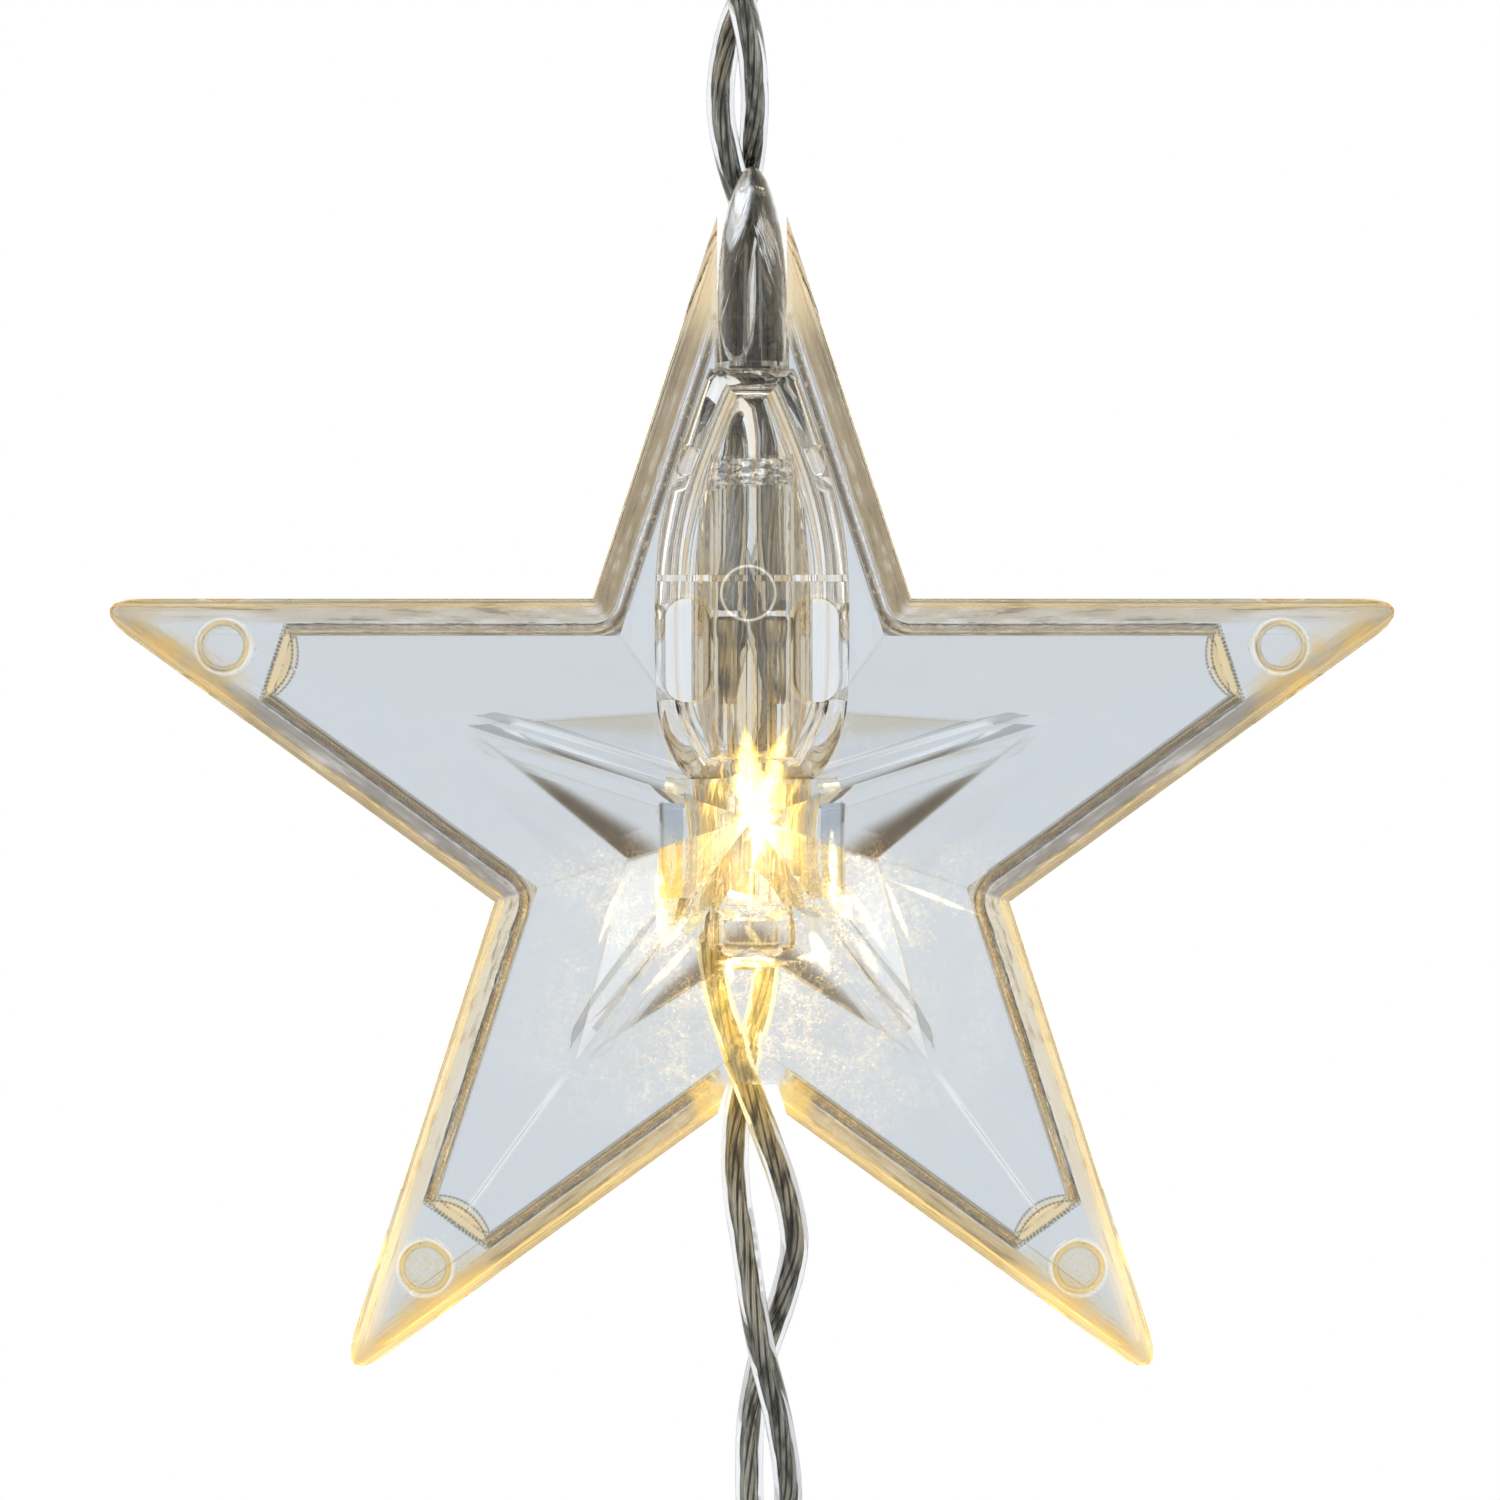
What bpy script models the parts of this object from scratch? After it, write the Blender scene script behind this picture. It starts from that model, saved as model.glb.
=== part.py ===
"""Star string light: one lit clear star on its twisted cord, hanging from a small cord coupler.

Metres, +Z up, front of the star towards -Y.
The origin is the middle of the coupler's flat top face, where the string is plugged in and hangs.
Lengths are given in millimetres times MM. Places on the star are given from the star's own centre,
which hangs STAR_DROP below the origin.
"""
import math

import bmesh
import bpy
from mathutils import Matrix, Vector

for old in list(bpy.data.objects):
    bpy.data.objects.remove(old, do_unlink=True)

MM = 0.001

# Fits
SEAT_GAP = 0.30 * MM            # between a piece and the piece it rests on
SLIP_GAP = 0.15 * MM            # round a piece that is pushed into its neighbour
OVERRUN = 1.0 * MM              # how far every cutter runs past what it cuts
BITE = 0.2 * MM                 # how far shapes that become one solid reach into each other

# Star
STAR_DROP = 71.0 * MM
STAR_WIDTH = 70.0 * MM
STAR_POINTS = 5
TIP_ROUND = 0.85 * MM
TIP_STEPS = 5
RIM_HALF_DEPTH = 4.0 * MM
RIM_WALL = 1.60 * MM
RIM_DRAFT = 0.40 * MM           # how much further in the cavity wall is at the panel
PANEL_WALL = 1.20 * MM
PANEL_STEP = 0.35 * MM          # the panel's edge stands this proud of the rim
PANEL_INSET = 2.0 * MM
CAVITY_REACH = 26.0 * MM        # from the centre to the solid tip of each arm

# Raised star in the middle of each panel
RELIEF_REACH = 16.3 * MM
RELIEF_VALLEY = 7.1 * MM
RELIEF_EDGE_RISE = 0.75 * MM    # above the rim, where the raised star starts
RELIEF_APEX_RISE = 3.3 * MM

# Pegs that join the two shells in the solid tips
PEG_PLACE = 30.3 * MM
PEG_RADIUS = 1.47 * MM
PEG_LENGTH = 2.4 * MM
PEG_END_GAP = 0.6 * MM          # free depth past the end of a peg in its hole

# Wires
WIRE_DIAMETER = 1.55 * MM
WIRE_STEP = 2.5 * MM
WIRE_SIDES_RESOLUTION = 2

# Cord channel in the top arm and the hood in front of it
CHANNEL_WIDTH = 3.8 * MM
CHANNEL_FRONT_END = 24.6 * MM
CHANNEL_BACK_END = 19.9 * MM
HOOD_TOP = 35.7 * MM
HOOD_DEPTH = 4.4 * MM
HOOD_BACK = -SEAT_GAP / 2       # its open back lies in the front half's own back face
HOOD_NOSE = 9.0 * MM
HOOD_GROOVE_WIDTH = 2.6 * MM
HOOD_GROOVE_DEPTH = 1.9 * MM
HOOD_TOP_WALL = 1.6 * MM
HOOD_FOOT = 24.0 * MM

# Cord outlet in the bottom corner
OUTLET_WIDTH = 3.1 * MM
OUTLET_MOUTH = 4.6 * MM         # at the inner side of the rim
OUTLET_FLARE = 3.8 * MM
OUTLET_TOP = 11.5 * MM
OUTLET_PANEL_TOP = 13.8 * MM    # above this the panels stay whole
OUTLET_END = 18.5 * MM

# Bottle-shaped pocket over the top of the lamp holder, on both panels
POCKET_TOP = 24.4 * MM
POCKET_END = 1.9 * MM
POCKET_WIDTH = 10.6 * MM
POCKET_WIDTH_SHARES = (0.434, 0.566, 0.755, 0.906, 0.981, 1.0, 1.0, 0.943, 0.811, 0.679)
POCKET_HEIGHT_SHARES = (1.0, 0.92, 0.796, 0.671, 0.56, 0.449, 0.2, 0.129, 0.058, 0.0)
POCKET_HALF_DEPTH = 6.75 * MM
POCKET_EDGE = 1.1 * MM
POCKET_WALL = 1.0 * MM
WINDOW_WIDTH = 2.3 * MM
WINDOW_TOP = 11.9 * MM
WINDOW_END = 6.3 * MM
WINDOW_PLACE = 3.55 * MM

# Round bulge of the front panel over the lower end of the holder and the lamp
BULGE_WALL = 0.8 * MM
BULGE_TOP = 5.0 * MM
BULGE_TAPER = 1.1 * MM

# Lamp holder
HOLDER_FORWARD = 1.9 * MM       # its axis is this far in front of the star's middle plane
HOLDER_RADIUS = 3.32 * MM
HOLDER_BORE = 2.70 * MM
HOLDER_MOUTH = 2.98 * MM
HOLDER_MOUTH_DEPTH = 1.8 * MM
HOLDER_TOP = 19.7 * MM
HOLDER_END = -4.6 * MM
RIB_WIDTH = 1.3 * MM
RIB_TOP = 1.0 * MM
RIB_END = -4.4 * MM
SADDLE_TOP = 13.2 * MM
SADDLE_THICKNESS = 0.9 * MM

# Lamp
LED_RADIUS = 2.5 * MM
LED_TOP = 1.5 * MM
LED_END = -7.2 * MM
LED_CORNER = 0.6 * MM
LED_ROOM_WIDTH = 3.9 * MM
LED_ROOM_DEPTH = 1.3 * MM
LED_ROOM_END = -4.3 * MM
LEAD_SIZE = 0.5 * MM
LEAD_SPACING = 2.54 * MM
LEAD_TOP = 8.6 * MM
CUP_WIDTH = 1.7 * MM
CUP_HEIGHT = 1.0 * MM
CUP_END = -3.9 * MM
POST_WIDTH = 0.8 * MM
POST_END = -3.5 * MM
LEAD_FOOT_DEPTH = 0.8 * MM
CHIP_RADIUS = 0.45 * MM
CHIP_TIP_RADIUS = 0.36 * MM
CHIP_GAP = 0.05 * MM
CHIP_HEIGHT = 0.22 * MM
CHIP_EDGE = 0.15 * MM
CRIMP_RADIUS = 0.85 * MM
CRIMP_BORE = 0.50 * MM
CRIMP_TOP = 11.0 * MM
CRIMP_END = 6.2 * MM

# Seal at the holder's mouth, with a hole for each wire
SEAL_THICKNESS = 1.4 * MM
SEAL_WIRE_PLACE = 0.95 * MM

# Upper coupler, from its flat top face down
PLUG_RADIUS = 3.6 * MM
PLUG_SHOULDER = 4.6 * MM
PLUG_LENGTH = 13.0 * MM
PLUG_SHOULDER_LENGTH = 1.6 * MM
SPIGOT_RADIUS = 3.0 * MM
SPIGOT_LENGTH = 2.4 * MM
SEAL_RING_RADIUS = 0.45 * MM
PIN_RADIUS = 0.5 * MM
PIN_SPACING = 2.6 * MM
PIN_STAND = 4.0 * MM
PIN_ROOT = 3.0 * MM
NUT_RADIUS = 5.6 * MM
NUT_LENGTH = 5.4 * MM
NUT_RIBS = 16
NUT_RIB_DEPTH = 0.35 * MM
RELIEF_LENGTH = 9.0 * MM
RELIEF_TOP_RADIUS = 3.2 * MM
RELIEF_TIP_RADIUS = 2.3 * MM
RELIEF_GROOVES = 4
RELIEF_GROOVE = 0.45 * MM

# Lower coupler, on the tail of the cord
TAIL_X = 0.9 * MM
TAIL_RELIEF_TOP = -41.0 * MM
SOCKET_RADIUS = 4.2 * MM
SOCKET_LENGTH = 12.0 * MM
SOCKET_SKIRT = 3.3 * MM
SOCKET_SKIRT_LENGTH = 5.0 * MM
CONTACT_RADIUS = 0.85 * MM
CONTACT_BORE = 0.55 * MM
CONTACT_LENGTH = 5.5 * MM
CAP_WALL = 1.0 * MM
CAP_LENGTH = 6.2 * MM
CAP_TAB = 1.6 * MM
CAP_TAB_WIDTH = 3.0 * MM

ROUND_STEPS = 32
SMALL_STEPS = 16

# Where the wires are cut from one moving body to the next
UPPER_CUT = 36.4 * MM
LOWER_CUT = -17.4 * MM

TIP_HALF_ANGLE = math.pi / 2 - math.pi * 2 / STAR_POINTS
STAR_RADIUS = ((STAR_WIDTH / 2 - TIP_ROUND) / math.cos(TIP_HALF_ANGLE)
               + TIP_ROUND / math.sin(TIP_HALF_ANGLE))
INNER_SHARE = math.sin(TIP_HALF_ANGLE) / math.sin(TIP_HALF_ANGLE + math.pi / STAR_POINTS)

# Routes of the wires, chosen by hand: x, y, z in millimetres from the star's centre
FEED_ROUTE = [
    (-0.95, -0.30, 48.4), (-0.95, -0.34, 47.5), (-0.86, -0.66, 46.2), (-0.60, -0.93, 44.8),
    (-0.05, -0.70, 42.2), (0.16, 0.20, 39.1), (-0.05, 1.55, 36.3), (-0.50, 2.80, 33.7), (-0.90, 2.90, 31.0),
    (-0.95, 2.30, 28.6), (-0.65, 1.30, 26.4), (0.00, 0.05, 24.5), (0.62, -1.05, 22.9),
    (0.93, -1.72, 21.0), (0.95, -1.90, 19.0), (1.00, -1.90, 15.5), (1.20, -1.90, 13.0),
    (1.27, -1.90, 11.3)]
THROUGH_ROUTE = [
    (0.75, 0.45, 48.4), (0.74, 0.50, 47.5), (0.28, 0.84, 46.2), (-0.60, 0.93, 44.8), (-1.45, 0.65, 42.2),
    (-1.74, 0.20, 39.1), (-1.30, 0.40, 36.3), (-0.50, 0.95, 33.7), (0.45, 1.25, 31.0),
    (0.95, 1.80, 28.6), (1.05, 2.70, 25.6), (1.10, 3.15, 22.0), (1.25, 3.30, 18.5),
    (0.90, 3.85, 15.0), (0.00, 4.35, 11.9), (-1.00, 4.00, 9.2), (-1.62, 3.10, 6.4),
    (-1.20, 2.55, 3.6), (-0.10, 2.45, 1.0), (0.75, 2.35, -2.0), (0.98, 1.90, -5.5),
    (0.62, 1.45, -9.5), (-0.05, 1.10, -12.4), (-0.50, 0.95, -14.4), (-0.92, 0.75, -17.6),
    (-0.85, 0.25, -20.5), (-0.38, -0.15, -23.5), (0.05, -0.65, -26.6), (0.62, -0.88, -29.6),
    (1.45, -0.60, -33.0), (1.98, 0.00, -36.6), (1.84, 0.15, -38.9), (1.80, 0.15, -39.9),
    (1.80, 0.15, -40.7)]
RETURN_ROUTE = [
    (-1.27, -1.90, 11.3), (-1.20, -1.90, 13.0), (-1.00, -1.90, 15.5), (-0.95, -1.90, 18.4),
    (-0.98, -1.86, 20.1), (-1.12, -1.31, 21.25), (-1.42, 0.10, 21.85), (-1.63, 1.51, 21.25),
    (-1.74, 2.06, 20.1), (-1.70, 2.45, 18.3), (-1.10, 2.55, 15.0), (0.00, 2.48, 11.9),
    (0.75, 2.60, 9.2), (1.03, 3.20, 6.4), (0.65, 3.95, 3.6), (-0.20, 4.30, 1.0),
    (-1.50, 3.75, -2.0), (-2.45, 2.50, -5.5), (-1.95, 1.10, -9.5), (-1.05, -0.20, -12.4),
    (-0.35, -0.80, -14.4), (0.85, -0.80, -17.6), (1.85, -0.40, -20.5), (2.34, 0.00, -23.5),
    (1.65, 0.60, -26.6), (0.60, 0.88, -29.6), (-0.05, 0.55, -33.0), (-0.15, 0.00, -36.6),
    (-0.02, -0.15, -38.9), (0.02, -0.15, -39.9), (0.02, -0.15, -40.7)]


def material(name, colour, roughness, metallic=0.0):
    found = bpy.data.materials.get(name)
    if found is None:
        found = bpy.data.materials.new(name)
        found.use_nodes = True
        shader = found.node_tree.nodes["Principled BSDF"]
        shader.inputs["Base Color"].default_value = (*colour, 1.0)
        shader.inputs["Roughness"].default_value = roughness
        shader.inputs["Metallic"].default_value = metallic
    return found


CLEAR = ((0.80, 0.84, 0.88), 0.08)
HOLDER_CLEAR = ((0.86, 0.87, 0.88), 0.10)
SILVER = ((0.62, 0.62, 0.60), 0.30, 1.0)
BRASS = ((0.72, 0.56, 0.28), 0.30, 1.0)
CLEAR_CORD = ((0.58, 0.60, 0.60), 0.20)
MILKY = ((0.82, 0.83, 0.82), 0.35)


def new_object(name, mesh, finish, finish_name=None):
    ob = bpy.data.objects.new(name, mesh)
    bpy.context.scene.collection.objects.link(ob)
    ob.data.materials.append(material(finish_name or name, *finish))
    return ob


def mesh_from(name, bm):
    bmesh.ops.recalc_face_normals(bm, faces=bm.faces[:])
    mesh = bpy.data.meshes.new(name)
    bm.to_mesh(mesh)
    bm.free()
    return mesh


def smooth(ob, degrees=35.0):
    ob.data.shade_smooth()
    ob.data.set_sharp_from_angle(angle=math.radians(degrees))
    return ob


def guide(ob):
    """A shape that only cuts or joins another one."""
    ob.hide_render = True
    ob.display_type = 'WIRE'
    return ob


def apply_boolean(ob, other, operation):
    step = ob.modifiers.new(operation.lower() + "_" + other.name, 'BOOLEAN')
    step.operation = operation
    step.object = guide(other)
    return ob


def cut(ob, *cutters):
    for cutter in cutters:
        apply_boolean(ob, cutter, 'DIFFERENCE')
    return ob


def join(ob, *pieces):
    for piece in pieces:
        apply_boolean(ob, piece, 'UNION')
    return ob


def pivot(name, place, carrier, *nodes):
    """An empty on a joint's axis, which carries the pieces that move on that joint."""
    ob = bpy.data.objects.new(name, None)
    bpy.context.scene.collection.objects.link(ob)
    ob.location = place
    if carrier:
        ob.parent = carrier
        ob.location = Vector(place) - Vector(carrier["place"])
    ob["place"] = place
    for node in nodes:
        piece = bpy.data.objects[node]
        piece.parent = ob
        piece.matrix_parent_inverse = Matrix.Translation(place).inverted()
    return ob


def at_star(ob):
    """Hangs a shape that was made round the star's centre below the origin."""
    ob.location = (0, 0, -STAR_DROP)
    return ob


def prism(name, outline, y_from, y_to, finish=CLEAR):
    """A plate with an outline of (x, z) points, between two depths."""
    bm = bmesh.new()
    ring = [bm.verts.new((x, y_from, z)) for x, z in outline]
    face = bm.faces.new(ring)
    grown = bmesh.ops.extrude_face_region(bm, geom=[face])
    lifted = [v for v in grown["geom"] if isinstance(v, bmesh.types.BMVert)]
    bmesh.ops.translate(bm, verts=lifted, vec=(0, y_to - y_from, 0))
    return at_star(new_object(name, mesh_from(name, bm), finish, "clear"))


def box_outline(x_low, x_high, z_low, z_high):
    return [(x_low, z_low), (x_high, z_low), (x_high, z_high), (x_low, z_high)]


def turned(name, profile, finish, steps=ROUND_STEPS, place=(0, 0, 0), finish_name=None):
    """A turned solid about a vertical axis: profile of (radius, z) from its top to its end."""
    bm = bmesh.new()
    points = [bm.verts.new((r, 0, z)) for r, z in profile]
    edges = [bm.edges.new(pair) for pair in zip(points, points[1:])]
    if profile[0][0] > 0:
        edges.append(bm.edges.new((points[-1], points[0])))
    bmesh.ops.spin(bm, geom=points + edges, cent=(0, 0, 0), axis=(0, 0, 1),
                   angle=2 * math.pi, steps=steps, use_merge=True)
    bmesh.ops.remove_doubles(bm, verts=bm.verts[:], dist=SLIP_GAP / ROUND_STEPS)
    half_step = Matrix.Rotation(math.pi / steps, 4, 'Z')
    bmesh.ops.transform(bm, matrix=Matrix.Translation(place) @ half_step, verts=bm.verts[:])
    ob = new_object(name, mesh_from(name, bm), finish, finish_name)
    return smooth(ob)


def rod(name, radius, top, end, finish, place=(0, 0, 0), steps=SMALL_STEPS, finish_name=None):
    return turned(name, [(0, top), (radius, top), (radius, end), (0, end)], finish, steps, place,
                  finish_name)


def block(name, low, high, finish, finish_name=None):
    bm = bmesh.new()
    bmesh.ops.create_cube(bm, size=1.0)
    size = Vector(high) - Vector(low)
    middle = (Vector(high) + Vector(low)) / 2
    bmesh.ops.transform(bm, matrix=Matrix.Translation(middle) @ Matrix.Diagonal((*size, 1.0)),
                        verts=bm.verts[:])
    return new_object(name, mesh_from(name, bm), finish, finish_name)


def star_corner(radius, index):
    angle = math.pi / 2 + index * math.pi / STAR_POINTS
    return radius * math.cos(angle), radius * math.sin(angle)


def star_outline(inset, tip_round=0.0):
    """The star's outline, inset by a distance square to its edges, tips rounded."""
    radius = STAR_RADIUS - inset / math.sin(TIP_HALF_ANGLE)
    points = []
    for index in range(2 * STAR_POINTS):
        if index % 2:
            points.append(star_corner(radius * INNER_SHARE, index))
        elif tip_round:
            x, z = star_corner(radius - tip_round / math.sin(TIP_HALF_ANGLE), index)
            along = math.pi / 2 + index * math.pi / STAR_POINTS
            half_turn = math.pi / 2 - TIP_HALF_ANGLE
            for step in range(TIP_STEPS + 1):
                angle = along - half_turn + 2 * half_turn * step / TIP_STEPS
                points.append((x + tip_round * math.cos(angle), z + tip_round * math.sin(angle)))
        else:
            points.append(star_corner(radius, index))
    return points


def roof(name, inset, foot_depth, sunk=0.0, side=-1):
    """The faceted panel as a closed solid: a star base, a low roof and the raised middle star.

    side is -1 towards the front and 1 towards the back, sunk lowers the roof for the cavity.
    """
    bm = bmesh.new()
    outline = star_outline(inset)
    edge = RIM_HALF_DEPTH + PANEL_STEP - sunk
    ridge = RIM_HALF_DEPTH + RELIEF_EDGE_RISE - sunk
    apex = RIM_HALF_DEPTH + RELIEF_APEX_RISE - sunk
    foot = [bm.verts.new((x, side * foot_depth, z)) for x, z in outline]
    brim = [bm.verts.new((x, side * edge, z)) for x, z in outline]
    middle = bm.verts.new((0, side * apex, 0))
    count = len(outline)
    relief = []
    for index in range(count):
        radius = RELIEF_VALLEY if index % 2 else RELIEF_REACH
        x, z = star_corner(radius, index)
        relief.append(bm.verts.new((x, side * ridge, z)))
    bm.faces.new(foot)
    for index in range(count):
        after = (index + 1) % count
        bm.faces.new((foot[index], foot[after], brim[after], brim[index]))
        bm.faces.new((middle, relief[index], relief[after]))
        tip, valley = (after, index) if index % 2 else (index, after)
        bm.faces.new((relief[tip], brim[tip], brim[valley]))
        bm.faces.new((relief[tip], brim[valley], relief[valley]))
    return bm


def roof_object(name, inset, foot_depth, side):
    bm = roof(name, inset, foot_depth, 0.0, side)
    return at_star(new_object(name, mesh_from(name, bm), CLEAR, "clear"))


def cavity_object(name, side):
    """The hollow under the panel, cut square across each arm where the solid tip starts."""
    bm = roof(name, RIM_WALL + RIM_DRAFT, -OVERRUN, PANEL_WALL, side)
    for index in range(STAR_POINTS):
        x, z = star_corner(1.0, 2 * index)
        geometry = bm.verts[:] + bm.edges[:] + bm.faces[:]
        bmesh.ops.bisect_plane(bm, geom=geometry, plane_co=(x * CAVITY_REACH, 0, z * CAVITY_REACH),
                               plane_no=(x, 0, z), clear_outer=True)
        open_edges = [e for e in bm.edges if e.is_boundary]
        bmesh.ops.holes_fill(bm, edges=open_edges, sides=0)
    return at_star(new_object(name, mesh_from(name, bm), CLEAR, "clear"))


def pocket_outline(shrink=0.0):
    """The bottle's outline, drawn in on all sides, as (x, z) points."""
    low = POCKET_END + shrink
    height = POCKET_TOP - shrink - low
    half = [(POCKET_WIDTH / 2 * wide - shrink, low + height * high)
            for wide, high in zip(POCKET_WIDTH_SHARES, POCKET_HEIGHT_SHARES)]
    return half + [(-x, z) for x, z in reversed(half)]


def pocket(name, side, shrink=0.0):
    """The bottle-shaped pocket as a closed solid with a sloping edge all round."""
    outline = pocket_outline(shrink)
    inner = pocket_outline(shrink + POCKET_EDGE)
    depth = POCKET_HALF_DEPTH - shrink
    shoulder = depth - POCKET_EDGE
    base = -OVERRUN if shrink else RIM_HALF_DEPTH - PANEL_WALL
    bm = bmesh.new()
    rings = [[bm.verts.new((x, side * y, z)) for x, z in points]
             for points, y in ((outline, base), (outline, shoulder), (inner, depth))]
    bm.faces.new(rings[0])
    bm.faces.new(rings[-1])
    for low, high in zip(rings, rings[1:]):
        count = len(low)
        for index in range(count):
            after = (index + 1) % count
            bm.faces.new((low[index], low[after], high[after], high[index]))
    return at_star(new_object(name, mesh_from(name, bm), CLEAR, "clear"))


def bulge(name, gap, wall):
    """The bulge over the holder's end and the lamp, cut off where the two halves meet."""
    grown = gap + wall
    top = BULGE_TOP if wall else HOLDER_TOP + gap
    end = LED_END - grown
    tube = HOLDER_RADIUS + grown
    lamp_room = LED_RADIUS + grown
    step = HOLDER_END - gap
    profile = [(0, top), (tube, top), (tube, step), (lamp_room, step - wall - BULGE_TAPER / 2),
               (lamp_room, end + BULGE_TAPER / 2), (lamp_room - BULGE_TAPER / 2, end), (0, end)]
    form = at_star(turned(name, profile, CLEAR, ROUND_STEPS, (0, -HOLDER_FORWARD, 0), "clear"))
    behind = -SEAT_GAP / 2 if wall else OVERRUN
    outline = box_outline(-POCKET_WIDTH, POCKET_WIDTH, -POCKET_TOP, POCKET_TOP)
    return cut(form, prism(name + "_behind", outline, behind, POCKET_HALF_DEPTH + OVERRUN))


def window(name, sign):
    """A round-ended slot through the front of the pocket."""
    radius = WINDOW_WIDTH / 2
    points = []
    for centre, start in ((WINDOW_TOP - radius, 0.0), (WINDOW_END + radius, math.pi)):
        for step in range(TIP_STEPS + 2):
            angle = start + math.pi * step / (TIP_STEPS + 1)
            points.append((sign * WINDOW_PLACE + radius * math.cos(angle),
                           centre + radius * math.sin(angle)))
    return prism(name, points, -POCKET_HALF_DEPTH - OVERRUN, -RIM_HALF_DEPTH + PANEL_WALL)


def hood_section(half_width, front, back):
    """Half ellipse towards the front, closed straight across its back: (x, y) points."""
    points = []
    for step in range(SMALL_STEPS + 1):
        angle = math.pi * step / SMALL_STEPS
        points.append((half_width * math.cos(angle), back - (back + front) * math.sin(angle)))
    return points


def bullet(name, half_width, front, back, top, foot, nose):
    """The hood's form: an upright half-round bar with a rounded nose at its top."""
    levels = [(foot, 1.0), (top - nose, 1.0)]
    for step in range(1, TIP_STEPS + 2):
        angle = math.pi / 2 * step / (TIP_STEPS + 2)
        levels.append((top - nose + nose * math.sin(angle), math.cos(angle)))
    bm = bmesh.new()
    rings = []
    for z, share in levels:
        section = hood_section(half_width * share, front * share, back)
        rings.append([bm.verts.new((x, y, z)) for x, y in section])
    bm.faces.new(rings[0])
    for low, high in zip(rings, rings[1:]):
        count = len(low)
        for index in range(count):
            after = (index + 1) % count
            bm.faces.new((low[index], low[after], high[after], high[index]))
    tip = bm.verts.new((0, back - BITE, top))
    last = rings[-1]
    for index in range(len(last)):
        bm.faces.new((last[index], last[(index + 1) % len(last)], tip))
    return at_star(new_object(name, mesh_from(name, bm), CLEAR, "clear"))


def cut_outlet(shell, side):
    """The cord outlet: a funnel in the rim that narrows, then widens towards the outside."""
    mouth = OUTLET_MOUTH / 2
    half = OUTLET_WIDTH / 2
    flare = OUTLET_FLARE / 2
    corner = STAR_RADIUS * INNER_SHARE
    lower = [(-half, -OUTLET_PANEL_TOP), (-half, -corner), (-flare, -OUTLET_END),
             (flare, -OUTLET_END), (half, -corner), (half, -OUTLET_PANEL_TOP)]
    upper = [(-mouth, -OUTLET_TOP), (-half, -corner), (half, -corner), (mouth, -OUTLET_TOP)]
    through = side * (RIM_HALF_DEPTH + RELIEF_APEX_RISE)
    inside = side * (RIM_HALF_DEPTH - PANEL_WALL)
    behind = side * -OVERRUN
    cut(shell, prism(shell.name + "_outlet", lower, behind, through),
        prism(shell.name + "_funnel", upper, behind, inside))


def peg_places():
    return [(index, star_corner(PEG_PLACE, 2 * index)) for index in range(1, STAR_POINTS)]


def upright_peg(name, x, z, radius, y_from, y_to):
    outline = []
    for step in range(SMALL_STEPS):
        angle = 2 * math.pi * step / SMALL_STEPS
        outline.append((x + radius * math.cos(angle), z + radius * math.sin(angle)))
    return prism(name, outline, y_from, y_to)


def build_shell(name, side):
    """One half of the star. side is -1 for the front half and 1 for the back half."""
    face = side * SEAT_GAP / 2
    shell = prism(name, star_outline(0.0, TIP_ROUND), face, side * RIM_HALF_DEPTH)
    panel = roof_object(name + "_panel", PANEL_INSET, RIM_HALF_DEPTH - PANEL_WALL, side)
    join(shell, panel, pocket(name + "_pocket", side))
    if side < 0:
        join(shell, bulge(name + "_bulge", SEAT_GAP, BULGE_WALL))
    cut(shell, cavity_object(name + "_cavity", side), pocket(name + "_room", side, POCKET_WALL))
    if side < 0:
        cut(shell, bulge(name + "_lamp_room", SEAT_GAP, 0))
    half = CHANNEL_WIDTH / 2
    end = CHANNEL_FRONT_END if side < 0 else CHANNEL_BACK_END
    channel = prism(name + "_channel", box_outline(-half, half, end, STAR_RADIUS),
                    side * -OVERRUN, side * (POCKET_HALF_DEPTH + OVERRUN))
    cut(shell, channel)
    for sign in (-1, 1):
        inner = HOLDER_RADIUS + SEAT_GAP
        edge = sorted((sign * inner, sign * (inner + RIB_WIDTH)))
        reach = sorted((face, side * (RIM_HALF_DEPTH + RELIEF_EDGE_RISE)))
        rib = prism(name + "_rib" + str(sign), box_outline(*edge, RIB_END, RIB_TOP), *reach)
        join(shell, rib)
    cut_outlet(shell, side)
    return shell


def front_shell():
    shell = build_shell("front_shell", -1)
    for sign in (-1, 1):
        cut(shell, window("window" + str(sign), sign))
    wide = POCKET_WIDTH / 2 - POCKET_WALL / 2
    saddle = prism("saddle", box_outline(-wide, wide, SADDLE_TOP - SADDLE_THICKNESS, SADDLE_TOP),
                   -POCKET_HALF_DEPTH + POCKET_WALL / 2, -HOLDER_FORWARD)
    seat = rod("saddle_seat", HOLDER_RADIUS + SEAT_GAP, SADDLE_TOP + OVERRUN,
               SADDLE_TOP - SADDLE_THICKNESS - OVERRUN, CLEAR, (0, -HOLDER_FORWARD, 0),
               ROUND_STEPS, "clear")
    join(shell, cut(saddle, at_star(seat)))
    half = CHANNEL_WIDTH / 2
    hood = bullet("hood", half + BITE / 2, HOOD_DEPTH, HOOD_BACK, HOOD_TOP, HOOD_FOOT, HOOD_NOSE)
    hollow = bullet("hood_groove", HOOD_GROOVE_WIDTH / 2, HOOD_GROOVE_DEPTH, HOOD_BACK + OVERRUN,
                    HOOD_TOP - HOOD_TOP_WALL, HOOD_FOOT - OVERRUN, HOOD_NOSE)
    join(shell, cut(hood, hollow))
    for index, (x, z) in peg_places():
        cut(shell, upright_peg("peg_hole" + str(index), x, z, PEG_RADIUS + SEAT_GAP,
                               -PEG_LENGTH - PEG_END_GAP, OVERRUN))
    return shell


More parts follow.
